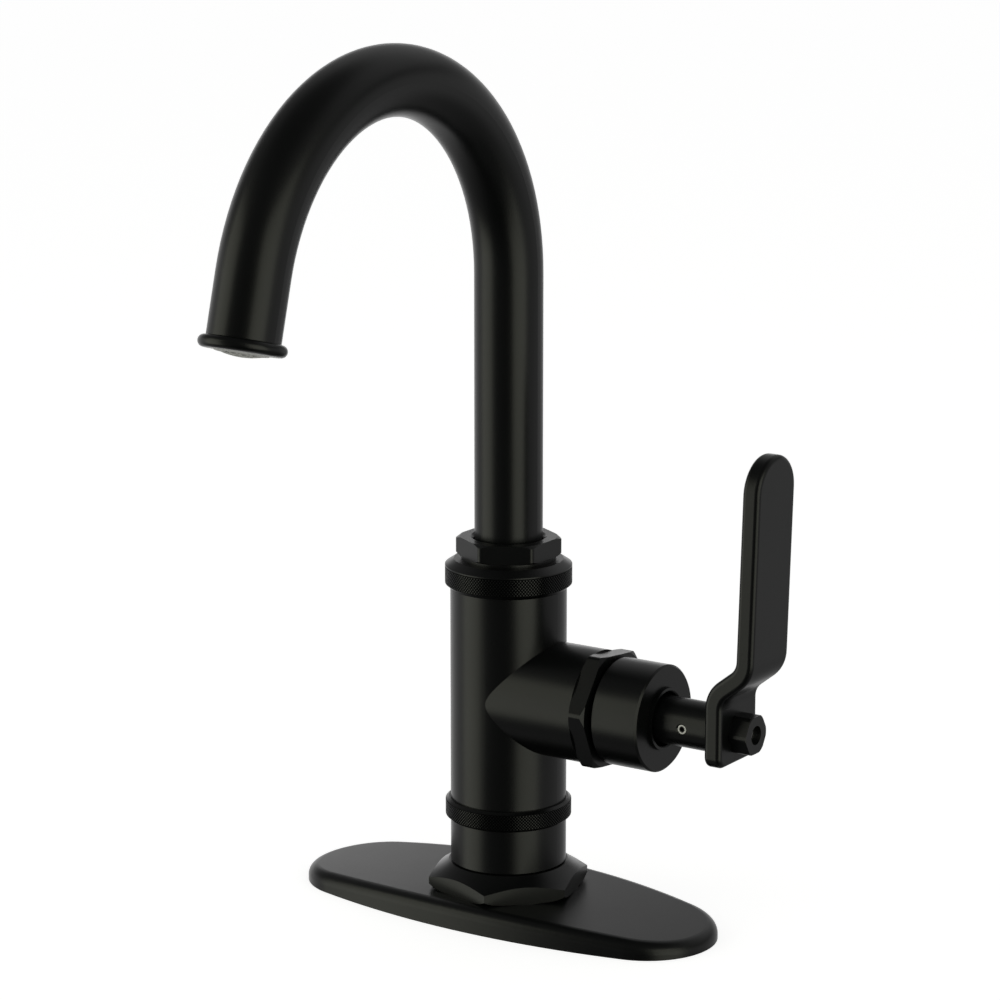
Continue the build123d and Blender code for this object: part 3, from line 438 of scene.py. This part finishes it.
def hex_corners(bm, middle, axis):
    """Places of a hexagon's corners, as vectors out from its axis."""
    corners = []
    for edge in bm.edges:
        along = (edge.verts[1].co - edge.verts[0].co).normalized()
        if abs(along.dot(axis)) > PARALLEL and abs(edge.calc_face_angle(0) - HEX_TURN) < HEX_SLACK:
            outward = edge.verts[0].co - middle
            outward -= outward.project(axis)
            if all((outward - corner).length > SAME_CORNER for corner in corners):
                corners.append(outward)
    return corners


def round_corners(bm, middle, axis, corners, radius, cuts):
    """Rounds a hexagon's corners, each by a fan of narrow flat cuts."""
    for corner in corners:
        outward = corner.normalized()
        centre = middle + corner - outward * (radius / math.cos(HEX_TURN / 2))
        for cut in range(1, cuts + 1):
            normal = Matrix.Rotation((cut / (cuts + 1) - 0.5) * HEX_TURN, 3, axis) @ outward
            rim = cut_off(bm, centre + normal * radius, normal, CUT_SLACK)
            bmesh.ops.edgeloop_fill(bm, edges=rim)


def flat_faces(bm, middle, axis, reach):
    """Numbers of the faces that are square to an axis, or that lie a reach or more away from it."""
    bm.normal_update()
    bm.faces.index_update()
    return [
        face.index for face in bm.faces
        if abs(face.normal.dot(axis)) > PARALLEL
        or abs(face.normal.dot(face.calc_center_median() - middle)) > reach - MERGE
    ]


def new_piece(bm, name, material, node, body, flat=()):
    """Turns a bmesh into a piece that stands for a CAD node, smooth but for its flat faces."""
    bmesh.ops.recalc_face_normals(bm, faces=bm.faces)
    mesh = bpy.data.meshes.new(name)
    bm.to_mesh(mesh)
    bm.free()
    mesh.shade_smooth()
    mesh.set_sharp_from_angle(angle=CREASE)
    for index in flat:
        mesh.polygons[index].use_smooth = False
    mesh.materials.append(material)
    piece = bpy.data.objects.new(name, mesh)
    bpy.context.scene.collection.objects.link(piece)
    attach(piece, body)
    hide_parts(node)


# Settings

class FaucetSizes(bpy.types.PropertyGroup):
    """Sizes of the fine detail."""

    knurl_count: bpy.props.IntProperty(
        name="Knurl count", description="Diamonds round a ring", default=126, min=24, max=240)
    knurl_depth: bpy.props.FloatProperty(
        name="Knurl depth", description="Height of a diamond's flat tip", default=0.34 * MM, unit="LENGTH")
    knurl_slope: bpy.props.FloatProperty(
        name="Knurl slope", description="Width of a diamond's sides", default=0.17 * MM, unit="LENGTH")
    lower_rows: bpy.props.IntProperty(
        name="Lower rows", description="Rows of diamonds on the lower ring", default=5, min=1, max=12)
    upper_rows: bpy.props.IntProperty(
        name="Upper rows", description="Rows of diamonds on the upper ring", default=5, min=1, max=12)
    lower_edge: bpy.props.FloatProperty(
        name="Lower edge", description="Chamfers of the lower ring", default=0.7 * MM, unit="LENGTH")
    upper_foot: bpy.props.FloatProperty(
        name="Upper foot", description="Chamfer under the upper knurl", default=1.2 * MM, unit="LENGTH")
    upper_land: bpy.props.FloatProperty(
        name="Upper land", description="Plain band over the upper knurl", default=0.4 * MM, unit="LENGTH")
    cone_height: bpy.props.FloatProperty(
        name="Cone height", description="Height of the upper ring's cone", default=1.9 * MM, unit="LENGTH")
    cone_radius: bpy.props.FloatProperty(
        name="Cone radius", description="Radius at the top of that cone", default=17.8 * MM, unit="LENGTH")
    ring_bore: bpy.props.FloatProperty(
        name="Lower bore", description="Inner radius of the lower ring", default=16.85 * MM, unit="LENGTH")
    cap_bore: bpy.props.FloatProperty(
        name="Upper bore", description="Inner radius of the upper ring", default=17.35 * MM, unit="LENGTH")
    lip_radius: bpy.props.FloatProperty(
        name="Lip radius", description="Inner radius of the upper ring's lip", default=15.4 * MM,
        unit="LENGTH")
    lip_height: bpy.props.FloatProperty(
        name="Lip height", description="Thickness of that lip", default=1.6 * MM, unit="LENGTH")
    hex_corner: bpy.props.FloatProperty(
        name="Nut corners", description="Rounding of the nuts' corners", default=1.8 * MM, unit="LENGTH")
    hex_cuts: bpy.props.IntProperty(
        name="Corner cuts", description="Flat cuts in a rounded corner", default=11, min=1, max=24)
    shank_pitch: bpy.props.FloatProperty(
        name="Shank pitch", description="Pitch of the shank's thread", default=1.5 * MM, unit="LENGTH")
    shank_radius: bpy.props.FloatProperty(
        name="Shank radius", description="Crest radius of the shank's thread", default=15.98 * MM,
        unit="LENGTH")
    shank_bore: bpy.props.FloatProperty(
        name="Shank bore", description="Inner radius of the shank", default=13.8 * MM, unit="LENGTH")
    register_radius: bpy.props.FloatProperty(
        name="Register radius", description="Plain top of the thread", default=16.5 * MM, unit="LENGTH")
    register_length: bpy.props.FloatProperty(
        name="Register length", description="Length of that plain top", default=4.0 * MM, unit="LENGTH")
    collar_height: bpy.props.FloatProperty(
        name="Collar height", description="Top of the shank's collar", default=8.4 * MM, unit="LENGTH")
    neck_radius: bpy.props.FloatProperty(
        name="Neck radius", description="Shank's end inside the body", default=14.55 * MM, unit="LENGTH")
    neck_bore: bpy.props.FloatProperty(
        name="Neck bore", description="Inner radius of that end", default=12.35 * MM, unit="LENGTH")
    stud_pitch: bpy.props.FloatProperty(
        name="Stud pitch", description="Pitch of the lever stud's thread", default=1.0 * MM, unit="LENGTH")
    grid_cell: bpy.props.FloatProperty(
        name="Grid cell", description="Pitch of the aerator's grid", default=2.2 * MM, unit="LENGTH")
    grid_bar: bpy.props.FloatProperty(
        name="Grid bar", description="Width of the grid's bars", default=0.5 * MM, unit="LENGTH")
    grid_radius: bpy.props.FloatProperty(
        name="Grid radius", description="Outer radius of the grid", default=8.75 * MM, unit="LENGTH")
    grid_rise: bpy.props.FloatProperty(
        name="Grid rise", description="How far the grid is domed", default=1.7 * MM, unit="LENGTH")
    grid_foot: bpy.props.FloatProperty(
        name="Grid foot", description="Depth of the grid's rim", default=1.4 * MM, unit="LENGTH")
    grid_reach: bpy.props.FloatProperty(
        name="Grid reach", description="From the flow disc's middle to the outlet's face",
        default=10.6 * MM, unit="LENGTH")
    spout_turn: bpy.props.FloatProperty(
        name="Spout turn", description="Angle that the spout is bent through",
        default=math.radians(164.5), subtype="ANGLE")


class FaucetLook(bpy.types.PropertyGroup):
    """Colours and roughness."""

    coat_colour: bpy.props.FloatVectorProperty(
        name="Coat", description="Colour of the satin coat", default=(0.0025, 0.003, 0.0029),
        subtype="COLOR")
    coat_roughness: bpy.props.FloatProperty(
        name="Coat roughness", description="Mean roughness of the satin coat", default=0.32, min=0, max=1,
        subtype="FACTOR")
    coat_peel: bpy.props.FloatProperty(
        name="Orange peel", description="Depth of the coat's orange peel", default=0.0035 * MM,
        unit="LENGTH")
    brass_colour: bpy.props.FloatVectorProperty(
        name="Brass", description="Colour of bare brass", default=(0.72, 0.52, 0.24), subtype="COLOR")
    brass_roughness: bpy.props.FloatProperty(
        name="Brass roughness", description="Least roughness of bare brass", default=0.24, min=0, max=1,
        subtype="FACTOR")
    steel_colour: bpy.props.FloatVectorProperty(
        name="Steel", description="Colour of plated steel", default=(0.6, 0.6, 0.59), subtype="COLOR")
    steel_roughness: bpy.props.FloatProperty(
        name="Steel roughness", description="Least roughness of plated steel", default=0.3, min=0, max=1,
        subtype="FACTOR")
    screw_rim: bpy.props.FloatProperty(
        name="Screw rim", description="Inner radius of the grub screw's bright rim", default=1.0 * MM,
        unit="LENGTH")
    rubber_colour: bpy.props.FloatVectorProperty(
        name="Rubber", description="Colour of the seals", default=(0.02, 0.02, 0.02), subtype="COLOR")
    rubber_roughness: bpy.props.FloatProperty(
        name="Rubber roughness", description="Least roughness of the seals", default=0.68, min=0, max=1,
        subtype="FACTOR")
    plastic_colour: bpy.props.FloatVectorProperty(
        name="Plastic", description="Colour of the plastic", default=(0.74, 0.74, 0.72), subtype="COLOR")
    plastic_roughness: bpy.props.FloatProperty(
        name="Plastic roughness", description="Least roughness of the plastic", default=0.38, min=0, max=1,
        subtype="FACTOR")
    ceramic_colour: bpy.props.FloatVectorProperty(
        name="Ceramic", description="Colour of the discs", default=(0.84, 0.83, 0.8), subtype="COLOR")
    ceramic_roughness: bpy.props.FloatProperty(
        name="Ceramic roughness", description="Least roughness of the discs", default=0.16, min=0, max=1,
        subtype="FACTOR")


class FaucetStage(bpy.types.PropertyGroup):
    """Camera, lamps and floor."""

    azimuth: bpy.props.FloatProperty(
        name="Azimuth", description="Camera's angle round the faucet", default=math.radians(33.73),
        subtype="ANGLE")
    elevation: bpy.props.FloatProperty(
        name="Elevation", description="Camera's angle above the deck", default=math.radians(13.07),
        subtype="ANGLE")
    distance: bpy.props.FloatProperty(
        name="Distance", description="From the camera to its target", default=1.2, unit="LENGTH")
    lens: bpy.props.FloatProperty(
        name="Lens", description="Focal length", default=133.54, unit="CAMERA")
    aside: bpy.props.FloatProperty(
        name="Aside", description="Target's place to the left of the body's axis", default=2.8 * MM,
        unit="LENGTH")
    height: bpy.props.FloatProperty(
        name="Height", description="Target's height over the deck", default=138.24 * MM, unit="LENGTH")
    walls: bpy.props.FloatProperty(
        name="Walls", description="Radiance of the palest wall in reflections", default=1.5, min=0, max=4)
    ceiling: bpy.props.FloatProperty(
        name="Ceiling", description="Radiance of the ceiling in reflections", default=0.05, min=0, max=4)
    left_box: bpy.props.FloatProperty(
        name="Left softbox", description="Radiance of the left softbox", default=0.83, min=0, max=4)
    right_box: bpy.props.FloatProperty(
        name="Right softbox", description="Radiance of the right softbox", default=0.86, min=0, max=4)
    lamp_colour: bpy.props.FloatVectorProperty(
        name="Lamps", description="Colour of both softboxes", default=(1.0, 1.02, 0.84), subtype="COLOR")
    fill: bpy.props.FloatProperty(
        name="Fill", description="Even light from all sides", default=0.35, min=0, max=2)
    floor_colour: bpy.props.FloatProperty(
        name="Floor", description="Grey of the floor", default=0.6, min=0, max=1, subtype="FACTOR")
    floor_glow: bpy.props.FloatProperty(
        name="Floor white", description="White that only the camera sees on the floor", default=0.78,
        min=0, max=1, subtype="FACTOR")


# Operators

class KnurledRings(bpy.types.Operator):
    """Make the two knurled rings"""

    bl_idname = "faucet.knurled_rings"
    bl_label = "Knurled rings"

    def execute(self, context):
        size = context.scene.faucet_sizes
        material = finish("satin black coat, knurled", coat_sockets, context.scene.faucet_look)
        self.make("lower_knurled_ring", self.lower_outline(size), size, material)
        self.make("upper_knurled_ring", self.upper_outline(size), size, material)
        return {"FINISHED"}

    @staticmethod
    def rows(floor, start, end, count):
        """Points up the band that takes the knurl."""
        return [(floor, start + (end - start) * row / count) for row in range(count + 1)]

    def lower_outline(self, size):
        """Plain ring with a chamfer at both rims."""
        low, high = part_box("lower_knurled_ring")
        floor = high.x - size.knurl_depth
        edge = floor - size.lower_edge
        band = self.rows(floor, low.z + size.lower_edge, high.z - size.lower_edge, size.lower_rows)
        return [(size.ring_bore, low.z), (edge, low.z), *band, (edge, high.z), (size.ring_bore, high.z)]

    def upper_outline(self, size):
        """Ring with a chamfered foot, a coned top and a lip inside."""
        low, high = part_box("upper_knurled_ring")
        floor = high.x - size.knurl_depth
        cone = high.z - size.cone_height
        band = self.rows(floor, low.z + size.upper_foot, cone - size.upper_land, size.upper_rows)
        return [
            (size.cap_bore, low.z), (floor - size.upper_foot, low.z), *band,
            (high.x, cone - size.upper_land), (high.x, cone), (size.cone_radius, high.z),
            (size.lip_radius, high.z), (size.lip_radius, high.z - size.lip_height),
            (size.cap_bore, high.z - size.lip_height),
        ]

    @staticmethod
    def make(node, outline, size, material):
        """Spins an outline, turns the squares of its band into diamonds and raises them."""
        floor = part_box(node)[1].x - size.knurl_depth
        bm = bmesh.new()
        lathe(bm, outline, size.knurl_count)
        band = [f for f in bm.faces if all(abs(v.co.xy.length - floor) < MERGE for v in f.verts)]
        inside = set(band)
        crossings = [e for e in bm.edges if len(e.link_faces) == 2 and inside.issuperset(e.link_faces)]
        centres = bmesh.ops.poke(bm, faces=band)["verts"]
        bmesh.ops.dissolve_edges(bm, edges=crossings, use_verts=False, use_face_split=False)
        diamonds = list(dict.fromkeys(face for vert in centres for face in vert.link_faces))
        bmesh.ops.inset_individual(
            bm, faces=diamonds, thickness=size.knurl_slope, depth=size.knurl_depth, use_even_offset=True)
        new_piece(bm, node + "_knurl", material, node, "faucet_base")


class Nuts(bpy.types.Operator):
    """Make the three nuts, with rounded corners"""

    bl_idname = "faucet.nuts"
    bl_label = "Nuts"

    def execute(self, context):
        size = context.scene.faucet_sizes
        material = finish("satin black coat, nuts", coat_sockets, context.scene.faucet_look)
        for node, (body, axis) in NUTS.items():
            low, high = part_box(node)
            middle = (low + high) / 2
            bm = bmesh.new()
            bm.from_mesh(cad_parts[node].data)
            bmesh.ops.remove_doubles(bm, verts=bm.verts, dist=MERGE)
            corners = hex_corners(bm, middle, axis)
            round_corners(bm, middle, axis, corners, size.hex_corner, size.hex_cuts)
            apothem = min(corner.length for corner in corners) * math.cos(HEX_TURN / 2)
            flat = flat_faces(bm, middle, axis, apothem)
            new_piece(bm, node + "_rounded", material, node, body, flat)
        return {"FINISHED"}


class ShankThread(bpy.types.Operator):
    """Make the threaded shank"""

    bl_idname = "faucet.shank_thread"
    bl_label = "Threaded shank"

    def execute(self, context):
        size = context.scene.faucet_sizes
        low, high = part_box("shank")
        low.z += MERGE
        turns = round((-low.z - size.register_length) / size.shank_pitch)
        top = low.z + turns * size.shank_pitch
        root = size.shank_radius - THREAD_DEPTH * size.shank_pitch
        bm = bmesh.new()
        thread(bm, size.shank_radius, root, size.shank_pitch, low.z, turns, SHANK_STEPS)
        loop = open_loop(bm, top)
        for radius, height in (
            (size.register_radius, top), (size.register_radius, 0), (high.x, 0),
            (high.x, size.collar_height), (size.neck_radius, size.collar_height),
            (size.neck_radius, high.z), (size.neck_bore, high.z), (size.neck_bore, 0),
            (size.shank_bore, 0), (size.shank_bore, low.z),
        ):
            loop = draw_out(bm, loop, radius, height)
        bmesh.ops.bridge_loops(bm, edges=loop + [e for e in open_loop(bm, low.z) if e not in loop])
        material = finish("machined brass, threaded", brass_sockets, context.scene.faucet_look)
        new_piece(bm, "shank_threaded", material, "shank", "faucet_base")
        return {"FINISHED"}


class LeverStud(bpy.types.Operator):
    """Make the threaded stud in the lever's nut"""

    bl_idname = "faucet.lever_stud"
    bl_label = "Lever stud"

    def execute(self, context):
        size = context.scene.faucet_sizes
        low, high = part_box("lever_stud")
        radius = (high.z - low.z) / 2 - STUD_PLAY
        root = radius - THREAD_DEPTH * size.stud_pitch
        length = high.x - low.x
        turns = int(length / size.stud_pitch) - 1
        spare = (length - turns * size.stud_pitch) / 2
        bm = bmesh.new()
        thread(bm, radius, root, size.stud_pitch, spare, turns, STUD_STEPS)
        for height, end in ((spare, 0), (spare + turns * size.stud_pitch, length)):
            loop = draw_out(bm, open_loop(bm, height), root, height)
            loop = draw_out(bm, loop, root - spare, end)
            bmesh.ops.edgeloop_fill(bm, edges=loop)
        place = Matrix.Translation((low.x, (low.y + high.y) / 2, (low.z + high.z) / 2))
        bmesh.ops.transform(bm, matrix=place @ Matrix.Rotation(math.pi / 2, 4, "Y"), verts=bm.verts)
        material = finish("zinc-plated steel, threaded", steel_sockets, context.scene.faucet_look)
        new_piece(bm, "lever_stud_threaded", material, "lever_stud", "lever_assembly")
        return {"FINISHED"}


class AeratorGrid(bpy.types.Operator):
    """Make the domed grid in the outlet"""

    bl_idname = "faucet.aerator_grid"
    bl_label = "Aerator grid"

    def execute(self, context):
        size = context.scene.faucet_sizes
        rim = GRID_RIM * size.grid_bar
        bm = bmesh.new()
        self.make_bars(bm, size, size.grid_radius - rim / 2)
        self.make_rim(bm, size, rim)
        low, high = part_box("aerator_flow_disc")
        water = Vector((0, -math.sin(size.spout_turn), math.cos(size.spout_turn)))
        across = Vector((1, 0, 0))
        turn = Matrix((across, water.cross(across), water)).transposed().to_4x4()
        place = Matrix.Translation((low + high) / 2 + water * size.grid_reach)
        bmesh.ops.transform(bm, matrix=place @ turn, verts=bm.verts)
        material = finish("pale plastic grid", plastic_sockets, context.scene.faucet_look)
        new_piece(bm, "aerator_grid", material, "aerator_screen", "spout")
        return {"FINISHED"}

    @staticmethod
    def make_bars(bm, size, reach):
        """Square grid of bars, drawn in to a round reach and domed."""
        cells = 2 * math.ceil(size.grid_radius / size.grid_cell)
        bmesh.ops.create_grid(bm, x_segments=cells, y_segments=cells, size=cells * size.grid_cell / 2)
        corners = [f for f in bm.faces if f.calc_center_median().length > reach]
        bmesh.ops.delete(bm, geom=corners, context="FACES")
        dome = (size.grid_radius**2 + size.grid_rise**2) / (2 * size.grid_rise)
        for vert in bm.verts:
            vert.co *= min(1, reach / max(vert.co.length, MERGE))
            crown = math.sqrt(dome**2 - vert.co.xy.length_squared) - dome
            vert.co.z = crown + size.grid_rise - size.grid_bar
        bmesh.ops.recalc_face_normals(bm, faces=bm.faces)
        bmesh.ops.wireframe(
            bm, faces=bm.faces, thickness=size.grid_bar, offset=0, use_replace=True, use_boundary=True,
            use_even_offset=True,
        )

    @staticmethod
    def make_rim(bm, size, rim):
        """Ring that the bars end in."""
        outer, foot = size.grid_radius, -size.grid_foot
        side = [(outer - inward * rim, upward * rim) for inward, upward in RIM_SIDE]
        lathe(bm, [(outer, foot), (outer, 0), *side, (outer - rim, foot)], RIM_STEPS)


class BlackPieces(bpy.types.Operator):
    """Coat the black pieces"""

    bl_idname = "faucet.black_pieces"
    bl_label = "Satin black pieces"

    def execute(self, context):
        dress(BLACK_PIECES, finish("satin black coat", coat_sockets, context.scene.faucet_look))
        return {"FINISHED"}


class BrassPieces(bpy.types.Operator):
    """Finish the bare brass pieces"""

    bl_idname = "faucet.brass_pieces"
    bl_label = "Brass pieces"

    def execute(self, context):
        dress(BRASS_PIECES, finish("machined brass", brass_sockets, context.scene.faucet_look))
        return {"FINISHED"}


class SteelPieces(bpy.types.Operator):
    """Finish the plated steel washer"""

    bl_idname = "faucet.steel_pieces"
    bl_label = "Steel pieces"

    def execute(self, context):
        dress(STEEL_PIECES, finish("zinc-plated steel", steel_sockets, context.scene.faucet_look))
        return {"FINISHED"}


class SetScrew(bpy.types.Operator):
    """Finish the grub screw in the lever's stem"""

    bl_idname = "faucet.set_screw"
    bl_label = "Grub screw"

    def execute(self, context):
        dress(("set_screw",), finish("steel grub screw", screw_sockets, context.scene.faucet_look))
        return {"FINISHED"}


class RubberPieces(bpy.types.Operator):
    """Finish the seals and gaskets"""

    bl_idname = "faucet.rubber_pieces"
    bl_label = "Seals and gaskets"

    def execute(self, context):
        dress(RUBBER_PIECES, finish("moulded rubber", rubber_sockets, context.scene.faucet_look))
        return {"FINISHED"}


class PlasticPieces(bpy.types.Operator):
    """Finish the pale plastic pieces"""

    bl_idname = "faucet.plastic_pieces"
    bl_label = "Plastic pieces"

    def execute(self, context):
        dress(PLASTIC_PIECES, finish("pale plastic", plastic_sockets, context.scene.faucet_look))
        return {"FINISHED"}


class CeramicDiscs(bpy.types.Operator):
    """Finish the two ceramic discs"""

    bl_idname = "faucet.ceramic_discs"
    bl_label = "Ceramic discs"

    def execute(self, context):
        dress(CERAMIC_PIECES, finish("lapped ceramic", ceramic_sockets, context.scene.faucet_look))
        return {"FINISHED"}


class Stage(bpy.types.Operator):
    """Set up the floor, the softboxes, the surroundings and the camera"""

    bl_idname = "faucet.stage"
    bl_label = "Stage"

    def execute(self, context):
        settings = context.scene.faucet_stage
        context.scene.view_settings.view_transform = "Standard"
        self.back = Vector((math.sin(settings.azimuth), -math.cos(settings.azimuth), 0))
        self.right = Vector((math.cos(settings.azimuth), math.sin(settings.azimuth), 0))
        self.make_floor(settings)
        self.make_surroundings(context.scene, settings)
        self.make_softbox("left softbox", settings.left_box, settings.lamp_colour, **LEFT_SOFTBOX)
        self.make_softbox("right softbox", settings.right_box, settings.lamp_colour, **RIGHT_SOFTBOX)
        self.make_camera(context.scene, settings)
        return {"FINISHED"}

    @staticmethod
    def make_floor(settings):
        """Pale floor with the faucet's shadow, open to a camera below it."""
        bm = bmesh.new()
        bmesh.ops.create_circle(bm, cap_ends=True, segments=FLOOR_STEPS, radius=FLOOR_RADIUS)
        mesh = bpy.data.meshes.new("floor")
        bm.to_mesh(mesh)
        bm.free()
        material = bpy.data.materials.new("pale floor")
        tree = Tree(material)
        grain = tree.noise(scale=9, detail=2)
        level = settings.floor_colour
        matt = tree.node("ShaderNodeBsdfDiffuse", inputs={
            "Color": tree.blend(grain, grey(FLOOR_GRAIN * level), grey(level)),
        })
        seen = tree.node("ShaderNodeLightPath", output="Is Camera Ray")
        white = tree.node("ShaderNodeEmission", inputs={"Strength": seen * settings.floor_glow})
        both = tree.node("ShaderNodeAddShader", inputs={0: matt, 1: white})
        below = tree.node("ShaderNodeNewGeometry", output="Backfacing")
        clear = tree.node("ShaderNodeBsdfTransparent")
        surface = tree.node("ShaderNodeMixShader", inputs={0: below, 1: both, 2: clear})
        tree.node("ShaderNodeOutputMaterial", inputs={"Surface": surface})
        mesh.materials.append(material)
        floor = bpy.data.objects.new("floor", mesh)
        floor.visible_glossy = False
        bpy.context.scene.collection.objects.link(floor)

    def make_surroundings(self, scene, settings):
        """White to the camera, an even fill, and for reflections walls: dim in front, paler behind."""
        scene.world = bpy.data.worlds.new("studio")
        tree = Tree(scene.world)
        toward = tree.node("ShaderNodeTexCoord", output="Generated")
        ahead = tree.vector("DOT_PRODUCT", toward, self.back, output="Value")
        aside = tree.vector("DOT_PRODUCT", toward, self.right, output="Value")
        up = tree.vector("DOT_PRODUCT", toward, (0, 0, 1), output="Value")
        bearing = aside.maths("ARCTAN2", aside, ahead) * (1 / math.tau) + 0.5
        low = tree.ramp(bearing, WALLS_ROUND) * tree.ramp(0.5 + 0.5 * up, WALLS_UPWARD)
        high = tree.ramp(bearing, UPPER_WALLS_ROUND)
        shown = tree.blend(tree.step(up, *UPPER_WALLS_RISE), low * settings.walls, high)
        shown = tree.blend(tree.step(up, *CEILING_RISE), shown, grey(settings.ceiling))
        gloss = tree.node("ShaderNodeLightPath", output="Is Glossy Ray")
        seen = tree.node("ShaderNodeLightPath", output="Is Camera Ray")
        colour = tree.blend(gloss, grey(settings.fill), shown)
        colour = tree.blend(seen, colour, grey(1.0))
        light = tree.node("ShaderNodeBackground", inputs={"Color": colour, "Strength": 1.0})
        tree.node("ShaderNodeOutputWorld", inputs={"Surface": light})

    def make_softbox(self, name, radiance, colour, bearing, tilt, distance, size):
        """Area lamp at a bearing from the camera's side, facing the faucet."""
        around, above = math.radians(bearing), math.radians(tilt)
        flat = self.back * math.cos(around) + self.right * math.sin(around)
        toward = flat * math.cos(above) + Vector((0, 0, math.sin(above)))
        lamp = bpy.data.lights.new(name, "AREA")
        lamp.shape = "RECTANGLE"
        lamp.size, lamp.size_y = size
        lamp.energy = radiance * math.pi * size[0] * size[1]
        lamp.color = colour
        box = bpy.data.objects.new(name, lamp)
        box.location = Vector((0, 0, LAMP_AIM)) + toward * distance
        box.rotation_euler = toward.to_track_quat("Z", "Y").to_euler()
        box.visible_camera = False
        bpy.context.scene.collection.objects.link(box)

    def make_camera(self, scene, settings):
        """Camera on the photograph's line of sight."""
        camera = bpy.data.cameras.new("camera")
        camera.lens = settings.lens
        camera.sensor_width = SENSOR_WIDTH
        camera.clip_start, camera.clip_end = CLIP_START, CLIP_END
        viewer = bpy.data.objects.new("camera", camera)
        toward = self.back * math.cos(settings.elevation) + Vector((0, 0, math.sin(settings.elevation)))
        target = Vector((0, 0, settings.height)) - self.right * settings.aside
        viewer.location = target + toward * settings.distance
        viewer.rotation_euler = toward.to_track_quat("Z", "Y").to_euler()
        scene.collection.objects.link(viewer)
        scene.camera = viewer


OPERATORS = (
    KnurledRings, Nuts, ShankThread, LeverStud, AeratorGrid, BlackPieces, BrassPieces, SteelPieces,
    SetScrew, RubberPieces, PlasticPieces, CeramicDiscs, Stage,
)


class FaucetPanel(bpy.types.Panel):
    """Lists the faucet's operators"""

    bl_idname = "VIEW3D_PT_faucet"
    bl_label = "Bar faucet"
    bl_space_type = "VIEW_3D"
    bl_region_type = "UI"
    bl_category = "Faucet"

    def draw(self, context):
        for operator in OPERATORS:
            self.layout.operator(operator.bl_idname)


GROUPS = {"faucet_sizes": FaucetSizes, "faucet_look": FaucetLook, "faucet_stage": FaucetStage}


def register():
    for group in (*GROUPS.values(), *OPERATORS, FaucetPanel):
        bpy.utils.register_class(group)
    for name, group in GROUPS.items():
        setattr(bpy.types.Scene, name, bpy.props.PointerProperty(type=group))


def unregister():
    for name in GROUPS:
        delattr(bpy.types.Scene, name)
    for group in (FaucetPanel, *reversed(OPERATORS), *reversed(GROUPS.values())):
        bpy.utils.unregister_class(group)


def main():
    """Run every operator in order."""
    register()
    for operator in OPERATORS:
        area, name = operator.bl_idname.split(".")
        getattr(getattr(bpy.ops, area), name)()


if __name__ == "__main__":
    main()
